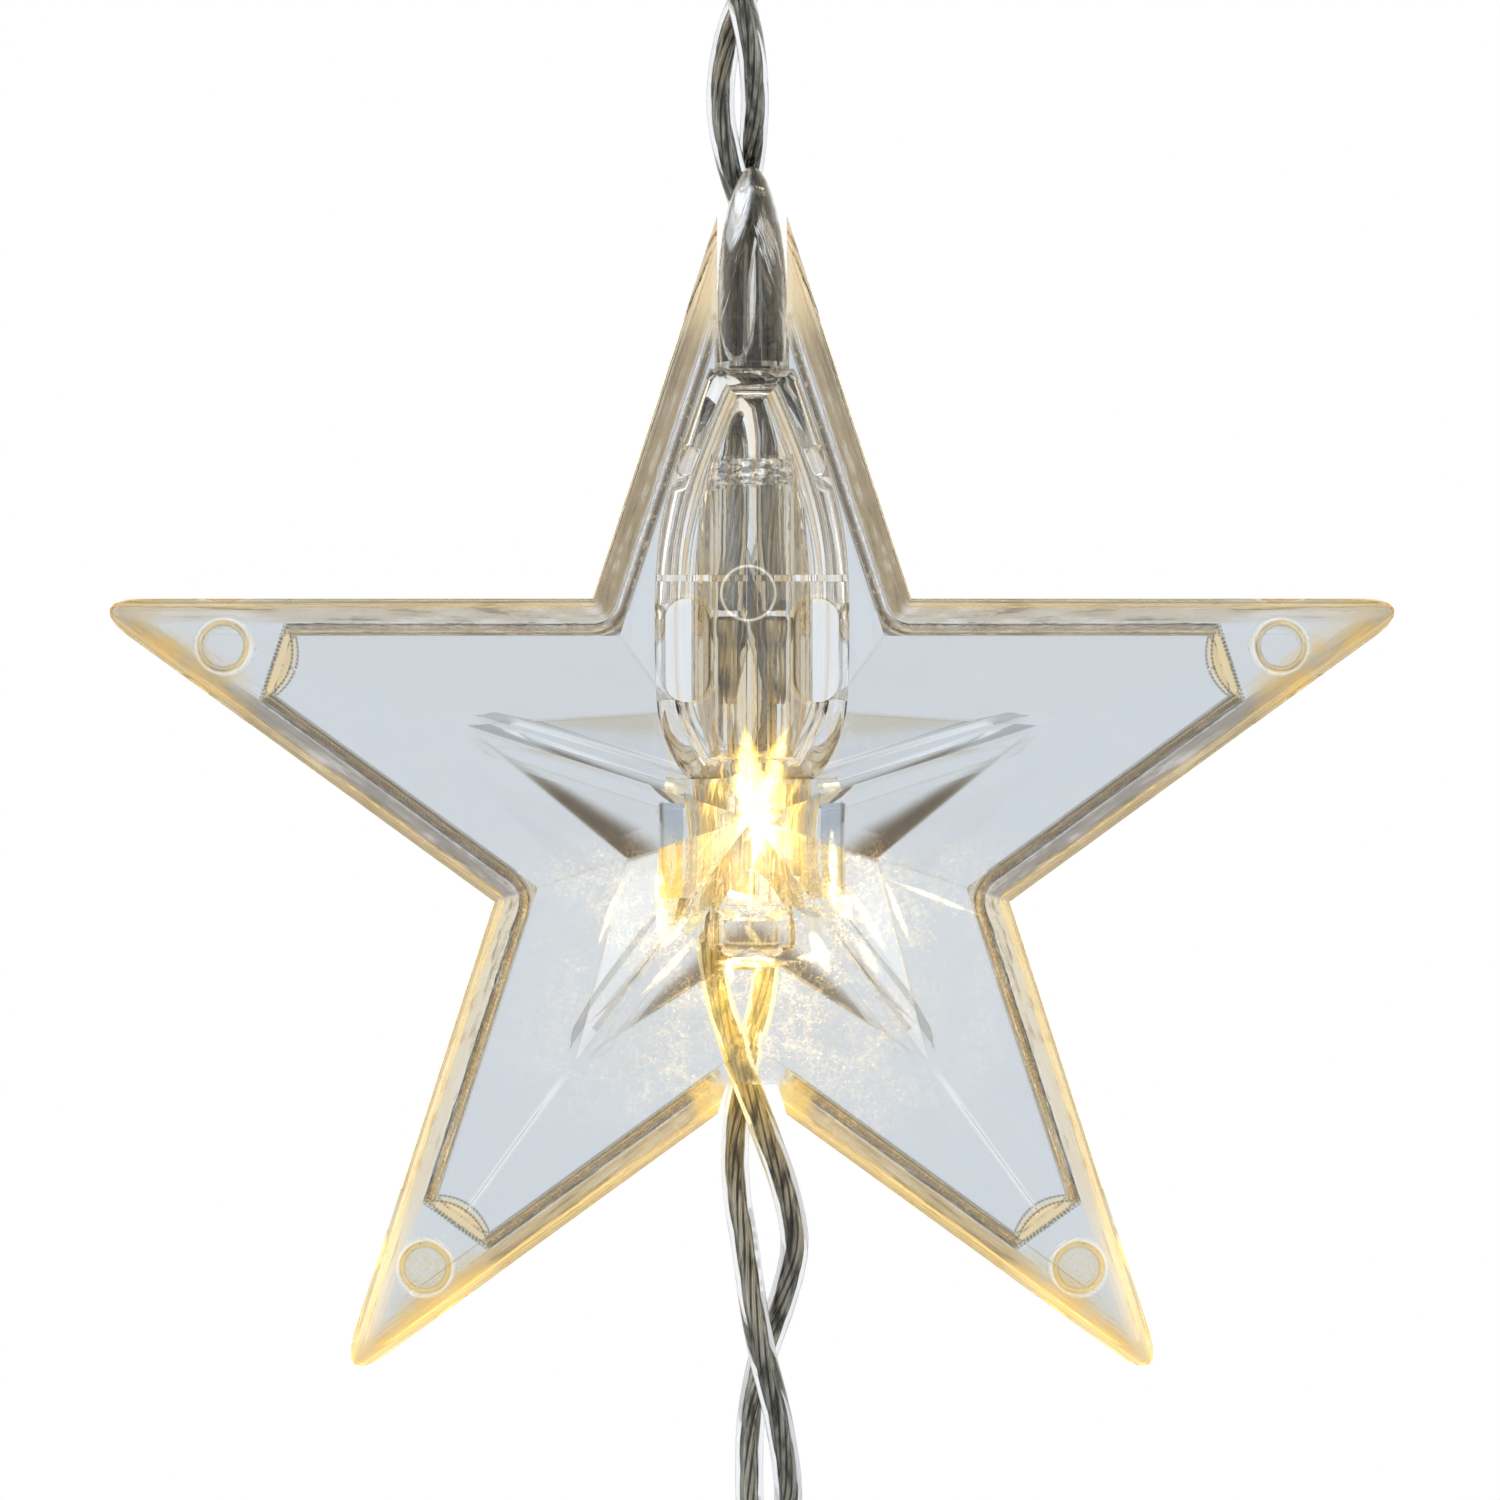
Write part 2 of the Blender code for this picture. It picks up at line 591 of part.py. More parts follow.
def back_shell():
    shell = build_shell("back_shell", 1)
    for index, (x, z) in peg_places():
        join(shell, upright_peg("peg" + str(index), x, z, PEG_RADIUS, -PEG_LENGTH,
                                SEAT_GAP / 2 + BITE))
    return shell


def lamp_holder():
    ledge = HOLDER_TOP - HOLDER_MOUTH_DEPTH
    profile = [(HOLDER_MOUTH, HOLDER_TOP), (HOLDER_RADIUS, HOLDER_TOP), (HOLDER_RADIUS, HOLDER_END),
               (HOLDER_BORE, HOLDER_END), (HOLDER_BORE, ledge), (HOLDER_MOUTH, ledge)]
    return at_star(turned("lamp_holder", profile, HOLDER_CLEAR, ROUND_STEPS, (0, -HOLDER_FORWARD, 0)))


def mouth_seal():
    top = HOLDER_TOP - SLIP_GAP
    seal = rod("mouth_seal", HOLDER_MOUTH - SLIP_GAP, top, top - SEAL_THICKNESS, MILKY,
               (0, -HOLDER_FORWARD, 0), ROUND_STEPS)
    for sign in (-1, 1):
        hole = rod("seal_hole" + str(sign), WIRE_DIAMETER / 2 + SLIP_GAP, top + OVERRUN,
                   top - SEAL_THICKNESS - OVERRUN, MILKY,
                   (sign * SEAL_WIRE_PLACE, -HOLDER_FORWARD, 0), SMALL_STEPS, "mouth_seal")
        cut(seal, at_star(hole))
    return at_star(seal)


def lamp():
    """The 5 mm lamp: its lens, two leads, the lit chip and the sleeves on the leads."""
    axis = -HOLDER_FORWARD
    arc = []
    for step in range(TIP_STEPS + 1):
        angle = math.pi / 2 * step / TIP_STEPS
        arc.append((LED_RADIUS - LED_CORNER + LED_CORNER * math.cos(angle),
                    LED_END + LED_CORNER - LED_CORNER * math.sin(angle)))
    profile = [(0, LED_TOP), (LED_RADIUS, LED_TOP)] + arc + [(0, LED_END)]
    lens = turned("led_lens", profile, HOLDER_CLEAR, ROUND_STEPS, (0, axis, 0))
    wide = LED_ROOM_WIDTH / 2
    deep = LED_ROOM_DEPTH / 2
    room = block("led_room", (-wide, axis - deep, LED_ROOM_END),
                 (wide, axis + deep, LED_TOP + OVERRUN), HOLDER_CLEAR, "led_lens")
    cut(at_star(lens), at_star(room))
    half = LEAD_SIZE / 2
    for name, sign, foot_width, foot_height, foot_end in (
            ("cathode_lead", -1, CUP_WIDTH, CUP_HEIGHT, CUP_END),
            ("anode_lead", 1, POST_WIDTH, CUP_HEIGHT, POST_END)):
        x = sign * LEAD_SPACING / 2
        lead = block(name, (x - half, axis - half, foot_end + foot_height - BITE),
                     (x + half, axis + half, LEAD_TOP), SILVER)
        near = x + sign * half
        far = near - sign * foot_width
        low, high = sorted((near, far))
        foot = block(name + "_foot", (low, axis - LEAD_FOOT_DEPTH / 2, foot_end),
                     (high, axis + LEAD_FOOT_DEPTH / 2, foot_end + foot_height), SILVER, name)
        join(at_star(lead), at_star(foot))
    cup_x = -LEAD_SPACING / 2 - half + CUP_WIDTH / 2
    top = CUP_END - CHIP_GAP
    at_star(turned("led_chip", [(0, top), (CHIP_RADIUS, top), (CHIP_TIP_RADIUS, top - CHIP_EDGE),
                                (0, top - CHIP_HEIGHT)],
                   ((1.0, 0.86, 0.42), 0.4), SMALL_STEPS, (cup_x, axis, 0)))
    for name, sign in (("crimp_left", -1), ("crimp_right", 1)):
        profile = [(CRIMP_BORE, CRIMP_TOP), (CRIMP_RADIUS, CRIMP_TOP), (CRIMP_RADIUS, CRIMP_END),
                   (CRIMP_BORE, CRIMP_END)]
        at_star(turned(name, profile, SILVER, SMALL_STEPS, (sign * LEAD_SPACING / 2, axis, 0)))


def smooth_route(points, step):
    """Points at an even step along one smooth curve through the route's own points."""
    path = [Vector(p) * MM for p in points]
    ends = [path[0] * 2 - path[1]] + path + [path[-1] * 2 - path[-2]]
    fine = []
    parts = TIP_STEPS * 2
    for index in range(1, len(ends) - 2):
        a, b, c, d = ends[index - 1:index + 3]
        for part in range(parts):
            t = part / parts
            fine.append(0.5 * ((2 * b) + (c - a) * t + (2 * a - 5 * b + 4 * c - d) * t ** 2
                               + (3 * b - a - 3 * c + d) * t ** 3))
    fine.append(path[-1])
    length = sum((q - p).length for p, q in zip(fine, fine[1:]))
    count = max(2, round(length / step))
    even = [fine[0]]
    run = 0.0
    wanted = 1
    for p, q in zip(fine, fine[1:]):
        piece = (q - p).length
        while wanted < count and run + piece >= wanted * length / count:
            even.append(p.lerp(q, (wanted * length / count - run) / piece))
            wanted += 1
        run += piece
    even.append(fine[-1])
    return even


def route_part(route, high, low):
    """The stretch of a route between two heights."""
    return [p for p in smooth_route(route, WIRE_DIAMETER / TIP_STEPS) if low <= p.z <= high]


def wire(name, points):
    curve = bpy.data.curves.new(name, 'CURVE')
    curve.dimensions = '3D'
    curve.bevel_depth = WIRE_DIAMETER / 2
    curve.bevel_resolution = WIRE_SIDES_RESOLUTION
    curve.use_fill_caps = True
    spline = curve.splines.new('POLY')
    length = sum((q - p).length for p, q in zip(points, points[1:]))
    count = max(3, round(length / WIRE_STEP) + 1)
    picked = [points[round(i * (len(points) - 1) / (count - 1))] for i in range(count)]
    spline.points.add(len(picked) - 1)
    for point, place in zip(spline.points, picked):
        point.co = (*place, 1.0)
    curve.materials.append(material("wire", *CLEAR_CORD))
    ob = bpy.data.objects.new(name, curve)
    bpy.context.scene.collection.objects.link(ob)
    print(name, "length", round(length / MM, 1), "mm")
    return at_star(ob)


def wires():
    far = STAR_WIDTH
    half = SEAT_GAP / 2
    wire("upper_feed_wire", route_part(FEED_ROUTE, far, UPPER_CUT + half))
    wire("upper_through_wire", route_part(THROUGH_ROUTE, far, UPPER_CUT + half))
    wire("star_feed_wire", route_part(FEED_ROUTE, UPPER_CUT - half, -far))
    wire("star_through_wire", route_part(THROUGH_ROUTE, UPPER_CUT - half, LOWER_CUT + half))
    wire("star_return_wire", route_part(RETURN_ROUTE, far, LOWER_CUT + half))
    wire("tail_through_wire", route_part(THROUGH_ROUTE, LOWER_CUT - half, -far))
    wire("tail_return_wire", route_part(RETURN_ROUTE, LOWER_CUT - half, -far))


def upper_coupler():
    """Plug body with a captive nut, two pins, a seal ring and a ribbed relief for the cord."""
    neck_top = -SPIGOT_LENGTH - PLUG_SHOULDER_LENGTH
    neck_end = neck_top - NUT_LENGTH - 2 * SEAT_GAP
    body = turned("plug_body", [
        (0, 0), (SPIGOT_RADIUS, 0), (SPIGOT_RADIUS, -SPIGOT_LENGTH),
        (PLUG_SHOULDER, -SPIGOT_LENGTH), (PLUG_SHOULDER, neck_top), (PLUG_RADIUS, neck_top),
        (PLUG_RADIUS, neck_end), (PLUG_SHOULDER, neck_end), (PLUG_SHOULDER, -PLUG_LENGTH),
        (0, -PLUG_LENGTH)], MILKY)
    for name, sign in (("pin_left", -1), ("pin_right", 1)):
        place = (sign * PIN_SPACING / 2, 0, 0)
        hole = rod(name + "_hole", PIN_RADIUS + SLIP_GAP, OVERRUN, -PIN_ROOT - SLIP_GAP, BRASS, place)
        cut(body, hole)
        rod(name, PIN_RADIUS, PIN_STAND, -PIN_ROOT, BRASS, place)
    ring = SEAL_RING_RADIUS
    middle = SPIGOT_RADIUS + SLIP_GAP + ring
    profile = []
    for step in range(TIP_STEPS * 2):
        angle = math.pi * step / TIP_STEPS
        profile.append((middle + ring * math.cos(angle),
                        -SPIGOT_LENGTH + SLIP_GAP + ring - ring * math.sin(angle)))
    turned("plug_seal", profile, ((0.85, 0.85, 0.84), 0.5))
    nut_top = neck_top - SEAT_GAP
    bore = PLUG_RADIUS + SEAT_GAP
    nut = turned("coupling_nut", [
        (bore, nut_top), (NUT_RADIUS, nut_top), (NUT_RADIUS, nut_top - NUT_LENGTH),
        (bore, nut_top - NUT_LENGTH)], MILKY)
    for index in range(NUT_RIBS):
        angle = 2 * math.pi * index / NUT_RIBS
        place = (NUT_RADIUS * math.cos(angle), NUT_RADIUS * math.sin(angle), 0)
        groove = rod("nut_groove" + str(index), NUT_RIB_DEPTH, nut_top + OVERRUN,
                     nut_top - NUT_LENGTH - OVERRUN, MILKY, place, TIP_STEPS + 1, "coupling_nut")
        cut(nut, groove)
    relief("plug_relief", -PLUG_LENGTH - SEAT_GAP, -1, (0, 0, 0))


def relief(name, start, direction, place):
    """A short ribbed taper from a coupler to its cord, square at both ends."""
    profile = [(0, start), (RELIEF_TOP_RADIUS, start)]
    pitch = RELIEF_LENGTH / (RELIEF_GROOVES + 1)
    for index in range(1, RELIEF_GROOVES + 1):
        share = index / (RELIEF_GROOVES + 1)
        radius = RELIEF_TOP_RADIUS + (RELIEF_TIP_RADIUS - RELIEF_TOP_RADIUS) * share
        middle = start + direction * pitch * index
        half = direction * pitch / 5
        profile += [(radius, middle - half), (radius - RELIEF_GROOVE, middle - half / 2),
                    (radius - RELIEF_GROOVE, middle + half / 2), (radius, middle + half)]
    end = start + direction * RELIEF_LENGTH
    profile += [(RELIEF_TIP_RADIUS, end), (0, end)]
    return turned(name, profile, MILKY, SMALL_STEPS + TIP_STEPS, place)


def lower_coupler():
    """Socket body with two contacts in a skirt, closed by a pushed-on cap."""
    place = (TAIL_X, 0, -STAR_DROP)
    relief_end = TAIL_RELIEF_TOP - RELIEF_LENGTH
    relief("socket_relief", relief_end, 1, place)
    top = relief_end - SEAT_GAP
    end = top - SOCKET_LENGTH
    floor = end + SOCKET_SKIRT_LENGTH
    body = turned("socket_body", [
        (0, top), (SOCKET_RADIUS, top), (SOCKET_RADIUS, end), (SOCKET_SKIRT, end),
        (SOCKET_SKIRT, floor), (0, floor)], MILKY, ROUND_STEPS, place)
    for name, sign in (("contact_left", -1), ("contact_right", 1)):
        x, y, z = place
        spot = (x + sign * PIN_SPACING / 2, y, z)
        hole = rod(name + "_hole", CONTACT_RADIUS + SLIP_GAP, floor + PIN_ROOT / 2, floor - OVERRUN,
                   BRASS, spot)
        cut(body, hole)
        contact_top = floor + PIN_ROOT / 2 - SLIP_GAP
        profile = [(CONTACT_BORE, contact_top), (CONTACT_RADIUS, contact_top),
                   (CONTACT_RADIUS, contact_top - CONTACT_LENGTH),
                   (CONTACT_BORE, contact_top - CONTACT_LENGTH)]
        turned(name, profile, BRASS, SMALL_STEPS, spot)
    inner = SOCKET_RADIUS + SLIP_GAP
    outer = inner + CAP_WALL
    closed = end - SEAT_GAP
    cap_end = closed - CAP_WALL
    cap_top = cap_end + CAP_LENGTH
    cap = turned("end_cap", [
        (inner, cap_top), (outer, cap_top), (outer, cap_end), (0, cap_end), (0, closed),
        (inner, closed)], MILKY, ROUND_STEPS, place)
    x, y, z = place
    tab = block("cap_tab", (x - CAP_TAB_WIDTH / 2, y - CAP_WALL / 2, z + cap_end - CAP_TAB),
                (x + CAP_TAB_WIDTH / 2, y + CAP_WALL / 2, z + cap_end + BITE), MILKY, "end_cap")
    join(cap, tab)


def pivots():
    """The axes on which the pieces move, from the top of the string down."""
    relief_top = -PLUG_LENGTH - SEAT_GAP / 2
    relief_end = relief_top - RELIEF_LENGTH - SEAT_GAP
    nut_middle = -SPIGOT_LENGTH - PLUG_SHOULDER_LENGTH - SEAT_GAP - NUT_LENGTH / 2
    pivot("nut_axis", (0, 0, nut_middle), None, "coupling_nut")
    bend = pivot("relief_pivot", (0, 0, relief_top), None, "plug_relief")
    swing = pivot("cord_pivot", (0, 0, relief_end), bend, "upper_feed_wire", "upper_through_wire")
    turn = pivot("star_axis", (0, 0, UPPER_CUT - STAR_DROP), swing,
                 "front_shell", "back_shell", "lamp_holder", "mouth_seal", "led_lens", "led_chip",
                 "cathode_lead", "anode_lead", "crimp_left", "crimp_right",
                 "star_feed_wire", "star_through_wire", "star_return_wire")
    tail = pivot("tail_pivot", (TAIL_X, 0, LOWER_CUT - STAR_DROP), turn,
                 "tail_through_wire", "tail_return_wire", "socket_relief", "socket_body",
                 "contact_left", "contact_right")
    pivot("cap_axis", (TAIL_X, 0, TAIL_RELIEF_TOP - RELIEF_LENGTH - STAR_DROP), tail, "end_cap")


front_shell()
back_shell()
lamp_holder()
mouth_seal()
lamp()
wires()
upper_coupler()
lower_coupler()
pivots()
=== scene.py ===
# %% [markdown]
# # A clear star on a string of lights
# The string hangs straight down from its plug. The star is two clear moulded halves, the lamp sits in
# a clear tube in its middle, and twisted clear wires run through it to the next socket.
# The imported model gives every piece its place, and this script dresses it: finer shells, wires with
# bare strands inside, moulded plastic, rubber and brass, and the warm light of the lamp.

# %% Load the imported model
import math

import bmesh
import bpy
from mathutils import Matrix, Vector


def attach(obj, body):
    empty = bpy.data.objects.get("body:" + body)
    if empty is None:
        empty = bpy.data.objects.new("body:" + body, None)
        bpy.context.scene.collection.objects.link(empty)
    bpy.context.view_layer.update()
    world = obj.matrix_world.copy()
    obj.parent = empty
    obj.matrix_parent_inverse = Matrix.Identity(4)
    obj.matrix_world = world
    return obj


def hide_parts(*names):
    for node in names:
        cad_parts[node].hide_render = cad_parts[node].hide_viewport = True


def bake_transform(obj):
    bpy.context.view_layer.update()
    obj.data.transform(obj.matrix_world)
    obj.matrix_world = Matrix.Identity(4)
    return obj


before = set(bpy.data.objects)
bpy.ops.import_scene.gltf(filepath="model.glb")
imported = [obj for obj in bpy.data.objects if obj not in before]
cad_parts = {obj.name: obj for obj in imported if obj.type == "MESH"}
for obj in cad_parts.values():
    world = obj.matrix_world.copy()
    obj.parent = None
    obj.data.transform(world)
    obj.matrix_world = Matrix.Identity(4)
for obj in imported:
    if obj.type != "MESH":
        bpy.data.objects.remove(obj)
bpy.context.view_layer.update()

# %% [markdown]
# ## Sizes
# Lengths are in metres, written as millimetres times MM. Places on the star are given from its own
# centre, which hangs STAR_DROP below the origin. The shaders count in plain millimetres.

# %% Sizes that several pieces share
MM = 0.001
STAR_DROP = 71.0 * MM
ORIGIN_TO_STAR = Vector((0, 0, -STAR_DROP))
WIRE_DIAMETER = 1.55 * MM
STRAND_DIAMETER = 0.24 * MM
STRANDS = 7
HOLDER_FORWARD = 1.9 * MM       # the lamp holder lies this far in front of the star's middle plane


def add_object(name, data):
    thing = bpy.data.objects.new(name, data)
    bpy.context.scene.collection.objects.link(thing)
    return thing


def wear(piece, material):
    piece.data.materials.clear()
    piece.data.materials.append(material)
    return piece


print("the star hangs", round(STAR_DROP / MM), "mm below the plug's face")

# %% [markdown]
# ## Camera
# The photograph looks straight at the star, and its edges show almost no perspective. So the camera
# stands far off with a long lens. The lens is worked out from the width that the picture covers.

# %% Camera
VIEW_DISTANCE = 0.55
VIEW_WIDTH = 81.65 * MM
STAR_FRONT = 4 * MM             # the width is measured at this depth
VIEW_LEFT, VIEW_HEIGHT = -0.11 * MM, -67.3 * MM
SENSOR = 36.0

camera = add_object("camera", bpy.data.cameras.new("camera"))
camera.location = (VIEW_LEFT, -VIEW_DISTANCE, VIEW_HEIGHT)
camera.rotation_euler = (math.pi / 2, 0, 0)
camera.data.sensor_width = SENSOR
camera.data.lens = SENSOR * (VIEW_DISTANCE - STAR_FRONT) / VIEW_WIDTH
camera.data.clip_start = 0.01
bpy.context.scene.camera = camera
print("lens:", round(camera.data.lens), "mm")

# %% [markdown]
# ## Shader sums as Python sums
# A finish is easier to read as a formula than as a web of nodes. This class wraps one socket and
# turns + - * / and abs into Math nodes, so that 1 - mask works as it is written.


# %% One socket that can be added and multiplied
class Socket:
    def __init__(self, tree, socket):
        self.tree = tree
        self.socket = socket

    def worked_out(self, operation, *values):
        node = self.tree.nodes.new("ShaderNodeMath")
        node.operation = operation
        for slot, value in zip(node.inputs, values):
            if isinstance(value, Socket):
                self.tree.links.new(value.socket, slot)
            else:
                slot.default_value = value
        return Socket(self.tree, node.outputs[0])

    def math(self, operation, *others):
        return self.worked_out(operation, self, *others)

    def __add__(self, other):
        return self.math("ADD", other)

    def __sub__(self, other):
        return self.math("SUBTRACT", other)

    def __rsub__(self, number):
        return self.worked_out("SUBTRACT", number, self)

    def __mul__(self, other):
        return self.math("MULTIPLY", other)

    def __truediv__(self, other):
        return self.math("DIVIDE", other)

    def __pow__(self, other):
        return self.math("POWER", other)

    def __abs__(self):
        return self.math("ABSOLUTE")

    __radd__, __rmul__ = __add__, __mul__

    def step(self, low, high):
        """0 below low and 1 above high, with a soft slope between them."""
        node = self.tree.nodes.new("ShaderNodeMapRange")
        node.interpolation_type = "SMOOTHSTEP"
        self.tree.links.new(self.socket, node.inputs["Value"])
        node.inputs["From Min"].default_value = low
        node.inputs["From Max"].default_value = high
        return Socket(self.tree, node.outputs[0])

    def drop(self, low, high):
        """1 below low and 0 above high."""
        return 1 - self.step(low, high)

    def band(self, rise, full, fall, gone):
        """1 from full to fall, and 0 outside rise and gone."""
        return self.step(rise, full) * self.drop(fall, gone)


print("shader sums are ready")

# %% [markdown]
# ## One way to make every finish
# Each finish is a Principled shader. What is the same all over a surface is set on the shader's own
# sockets, and what varies, such as colour, roughness, glow and bumps, is linked to them.


# %% A finish
class Finish:
    def __init__(self, name, **constants):
        self.material = bpy.data.materials.new(name)
        self.material.use_nodes = True
        self.material.cycles.emission_sampling = "NONE"
        self.tree = self.material.node_tree
        self.shader = self.tree.nodes["Principled BSDF"]
        for socket, value in constants.items():
            self.shader.inputs[socket.replace("_", " ")].default_value = value

    def node(self, kind, settings=None, output=0, **inputs):
        """Any node: its settings first, then the values or links of its sockets."""
        node = self.tree.nodes.new("ShaderNode" + kind)
        stops = (settings or {}).pop("stops", None)
        for key, value in (settings or {}).items():
            setattr(node, key, value)
        if stops:
            ramp = node.color_ramp.elements
            while len(ramp) < len(stops):
                ramp.new(1.0)
            for element, (place, colour) in zip(ramp, stops):
                element.position = place
                element.color = (*colour, 1.0)
        for key, value in inputs.items():
            slot = node.inputs[int(key[1:])] if key[0] == "_" else node.inputs[key.replace("_", " ")]
            if isinstance(value, Socket):
                self.tree.links.new(value.socket, slot)
            else:
                slot.default_value = value
        return Socket(self.tree, node.outputs[output])

    def place(self, centre=(0, 0, 0)):
        """Object coordinates in millimetres, measured from a centre given in millimetres."""
        spot = self.node("TexCoord", output=3)
        return self.node("Mapping", Vector=spot, Scale=(1 / MM,) * 3, Location=[-c for c in centre])

    def parts(self, vector):
        return [self.node("SeparateXYZ", output=i, Vector=vector) for i in range(3)]

    def noise(self, vector, scale, detail=2.0, rough=0.5):
        return self.node("TexNoise", Vector=vector, Scale=scale, Detail=detail, Roughness=rough)

    def squeezed_noise(self, vector, squeeze, *noise):
        return self.noise(self.node("Mapping", Vector=vector, Scale=squeeze), *noise)

    def mix(self, factor, a, b):
        """A colour between a and b. The node itself keeps the factor between 0 and 1."""
        values = {}
        for key, value in (("_6", a), ("_7", b)):
            values[key] = value if isinstance(value, Socket) else (*value, 1.0)
        return self.node("Mix", {"data_type": "RGBA"}, output=2, _0=factor, **values)

    def paint(self, colour, *layers):
        """Colours laid over each other: each layer says where, from 0 to 1, and the colour there."""
        for where, over in layers:
            colour = self.mix(where, colour, over)
        return colour

    def scaled(self, colour, amount):
        return self.node("VectorMath", {"operation": "SCALE"}, _0=colour, Scale=amount)

    def by_edge(self, turn, *colours):
        """One colour for each fifth of the way from the top arm to the bottom corner."""
        stops = []
        for fifth, colour in enumerate(colours):
            stops += [(fifth / 5 + (EDGE_SOFT if fifth else 0), colour),
                      ((fifth + 1) / 5 - (EDGE_SOFT if fifth < 4 else 0), colour)]
        return self.node("ValToRGB", {"stops": stops}, Fac=turn)

    def facing(self, low, high):
        """0 where a clear wall is seen square on and 1 where it is seen along, as at its outline."""
        return self.node("LayerWeight", output=1, Blend=0.5).step(low, high)

    def link(self, **inputs):
        for key, value in inputs.items():
            self.tree.links.new(value.socket, self.shader.inputs[key.replace("_", " ")])

    def bump(self, height, depth):
        """Relief of a real depth in metres, from a height of 0 to 1."""
        self.link(Normal=self.node("Bump", Height=height, Distance=depth, Strength=1.0))


EDGE_SOFT = 0.002
print("finishes can be made")

# %% [markdown]
# ## The star's own coordinates
# Many of the star's details follow its outline: the clear rim, the fine teeth beside it, the light
# that leaks out along the edge. They are placed by the distance in from the outline, by the place
# along and off an arm's axis, and by how far round the star they lie. These come from the angle and
# the distance from the centre, folded five times.

# %% Distance from the outline, and along it
STAR_RADIUS = 38.66             # in millimetres, as the shader counts
INNER_SHARE = 0.382             # of the radius, where the valleys lie
TIP_ANGLE = math.radians(18)
FOLD = math.radians(36)
VALLEY_ALONG = STAR_RADIUS * INNER_SHARE * math.cos(TIP_ANGLE + FOLD)


def distance(a, b):
    return (a * a + b * b) ** 0.5


def star_lines(finish, spot):
    """Inset and place along the nearest edge, place along and off the arm's axis, and the turn.

    The turn is 0 at the top arm and 1 at the bottom corner, on either side. The rest is in mm."""
    x, y, z = finish.parts(spot)
    reach = distance(x, z)
    angle = x.math("ARCTAN2", z)
    folded = FOLD - (angle + FOLD).math("PINGPONG", FOLD)
    lean = folded + TIP_ANGLE
    inset = STAR_RADIUS * math.sin(TIP_ANGLE) - reach * lean.math("SINE")
    along = reach * lean.math("COSINE")
    past = (VALLEY_ALONG - along).math("MAXIMUM", 0.0)
    out, off = reach * folded.math("COSINE"), reach * folded.math("SINE")
    return distance(inset, past), along, out, off, abs(angle) / math.pi


print("inner corners lie", round(STAR_RADIUS * INNER_SHARE, 1), "mm from the centre")

# %% [markdown]
# ## Light that travels in clear plastic
# A lamp inside clear plastic lights it from within: its faces near the lamp glare, and what the
# plastic carries sideways leaks out at its edges and tips. Tracing that light would need far too many
# rays, so the finish adds it as a warm glow that fades with the distance from the lamp.

# %% Warm glow
WARM = (1.0, 0.62, 0.12)
WARM_CORE = (1.0, 0.88, 0.50)
LAMP_PLACE = (0.4, -1.9, -72.5)


def distance_to(finish, place, stretch=(1, 1, 1)):
    """Distance from a place in mm; a stretch above 1 makes the glow narrower that way."""
    spot = finish.place(place)
    squeezed = finish.node("VectorMath", {"operation": "MULTIPLY"}, _0=spot, _1=stretch)
    return finish.node("VectorMath", {"operation": "LENGTH"}, output=1, _0=squeezed)


def fade(away, size):
    return (away * away * (-1 / size ** 2)).math("EXPONENT")


def line(value, place, width):
    return fade(value - place, width)


def glare(finish, size, strength):
    """Soft light round the lamp, yellow further off and nearly white close by."""
    near = (distance_to(finish, LAMP_PLACE) * (-1 / size)).math("EXPONENT")
    return finish.scaled(finish.mix(near, WARM, WARM_CORE), near * strength)


def petal(x, z, foot, tip, width, soft=0.2):
    """A leaf of light, widest in its middle, from its foot to its tip: (x, z) places in mm."""
    across, up = tip[0] - foot[0], tip[1] - foot[1]
    length = math.hypot(across, up)
    share = ((x - foot[0]) * across + (z - foot[1]) * up) / length ** 2
    off = abs((x - foot[0]) * up - (z - foot[1]) * across) / length
    return (share * (1 - share) * (2 * width) - off).step(-0.3 * soft, 0.7 * soft)


def leaves_of_light(x, z, leaves):
    return sum(petal(x, z, *leaf) for leaf in leaves)


print("the lamp glows at", LAMP_PLACE, "mm")

# %% [markdown]
# ## Clear moulded plastic of the star
# The halves are clear polystyrene with a faint blue-grey tint. Its faces are plain, but every wall
# that stands square to a face bends the light away, so it shows as a band: silvery on the level
# edges, brown or grey on the others, with a fine dark line on each side. These bands and lines are
# painted light and shade, and so is the lamp's gold painted on the outermost half millimetre.
# Each band is a colour by the inset, in steps by the edge.

# %% Colours and places of the clear star's bands
CLEAR_TINT = (0.785, 0.820, 0.855)
CLOUDY_TINT = (0.80, 0.82, 0.83)
# Painted light and shade: the band colours by edge, the lamp's gold for the edge, tips and notch, and the dark and
# white lines and the dark wedges.
RIM_COLOURS = ((0.60, 0.53, 0.41), (0.73, 0.70, 0.64), (0.55, 0.53, 0.50), (0.86, 0.82, 0.72), (0.74, 0.65, 0.47))
WALL_COLOURS = ((0.30, 0.26, 0.20), (0.66, 0.65, 0.62), (0.44, 0.35, 0.24), (0.52, 0.37, 0.14), (0.54, 0.45, 0.33))
PAINTED_LAMP_GOLD = (0.96, 0.80, 0.46)
TIP_GOLD = (0.84, 0.67, 0.34)
LAMP_GOLD = (0.95, 0.78, 0.42)
DARK_LINE = (0.17, 0.15, 0.12)
WHITE_LINE = (1.0, 1.0, 0.99)
WEDGE = (0.33, 0.29, 0.235)
TOOTH = 0.25                    # pitch of the fine teeth on the wall, mm
DASH = 0.22                     # pitch of the dashes at the hollow's ends, mm
HOLLOW_END = 27.46              # how far out along an arm the hollow reaches, mm
LENS_END = 26.46                # and its curved end, on the arm's axis, mm
PEG_OUT = 30.3                  # how far out the pegs stand, mm
RELIEF_TIP = 16.3               # how far out the raised star reaches, mm
RELIEF_SINE, RELIEF_COSINE = 0.3677, 0.930      # of the lean of its edges


def streaky(made, colour, streak):
    """A colour with lighter and darker streaks in it."""
    return made.paint(colour, (streak.step(0.52, 0.70) * 0.7, (0.86, 0.86, 0.85)),
                      (streak.drop(0.32, 0.46) * 0.6, (0.36, 0.31, 0.24)))


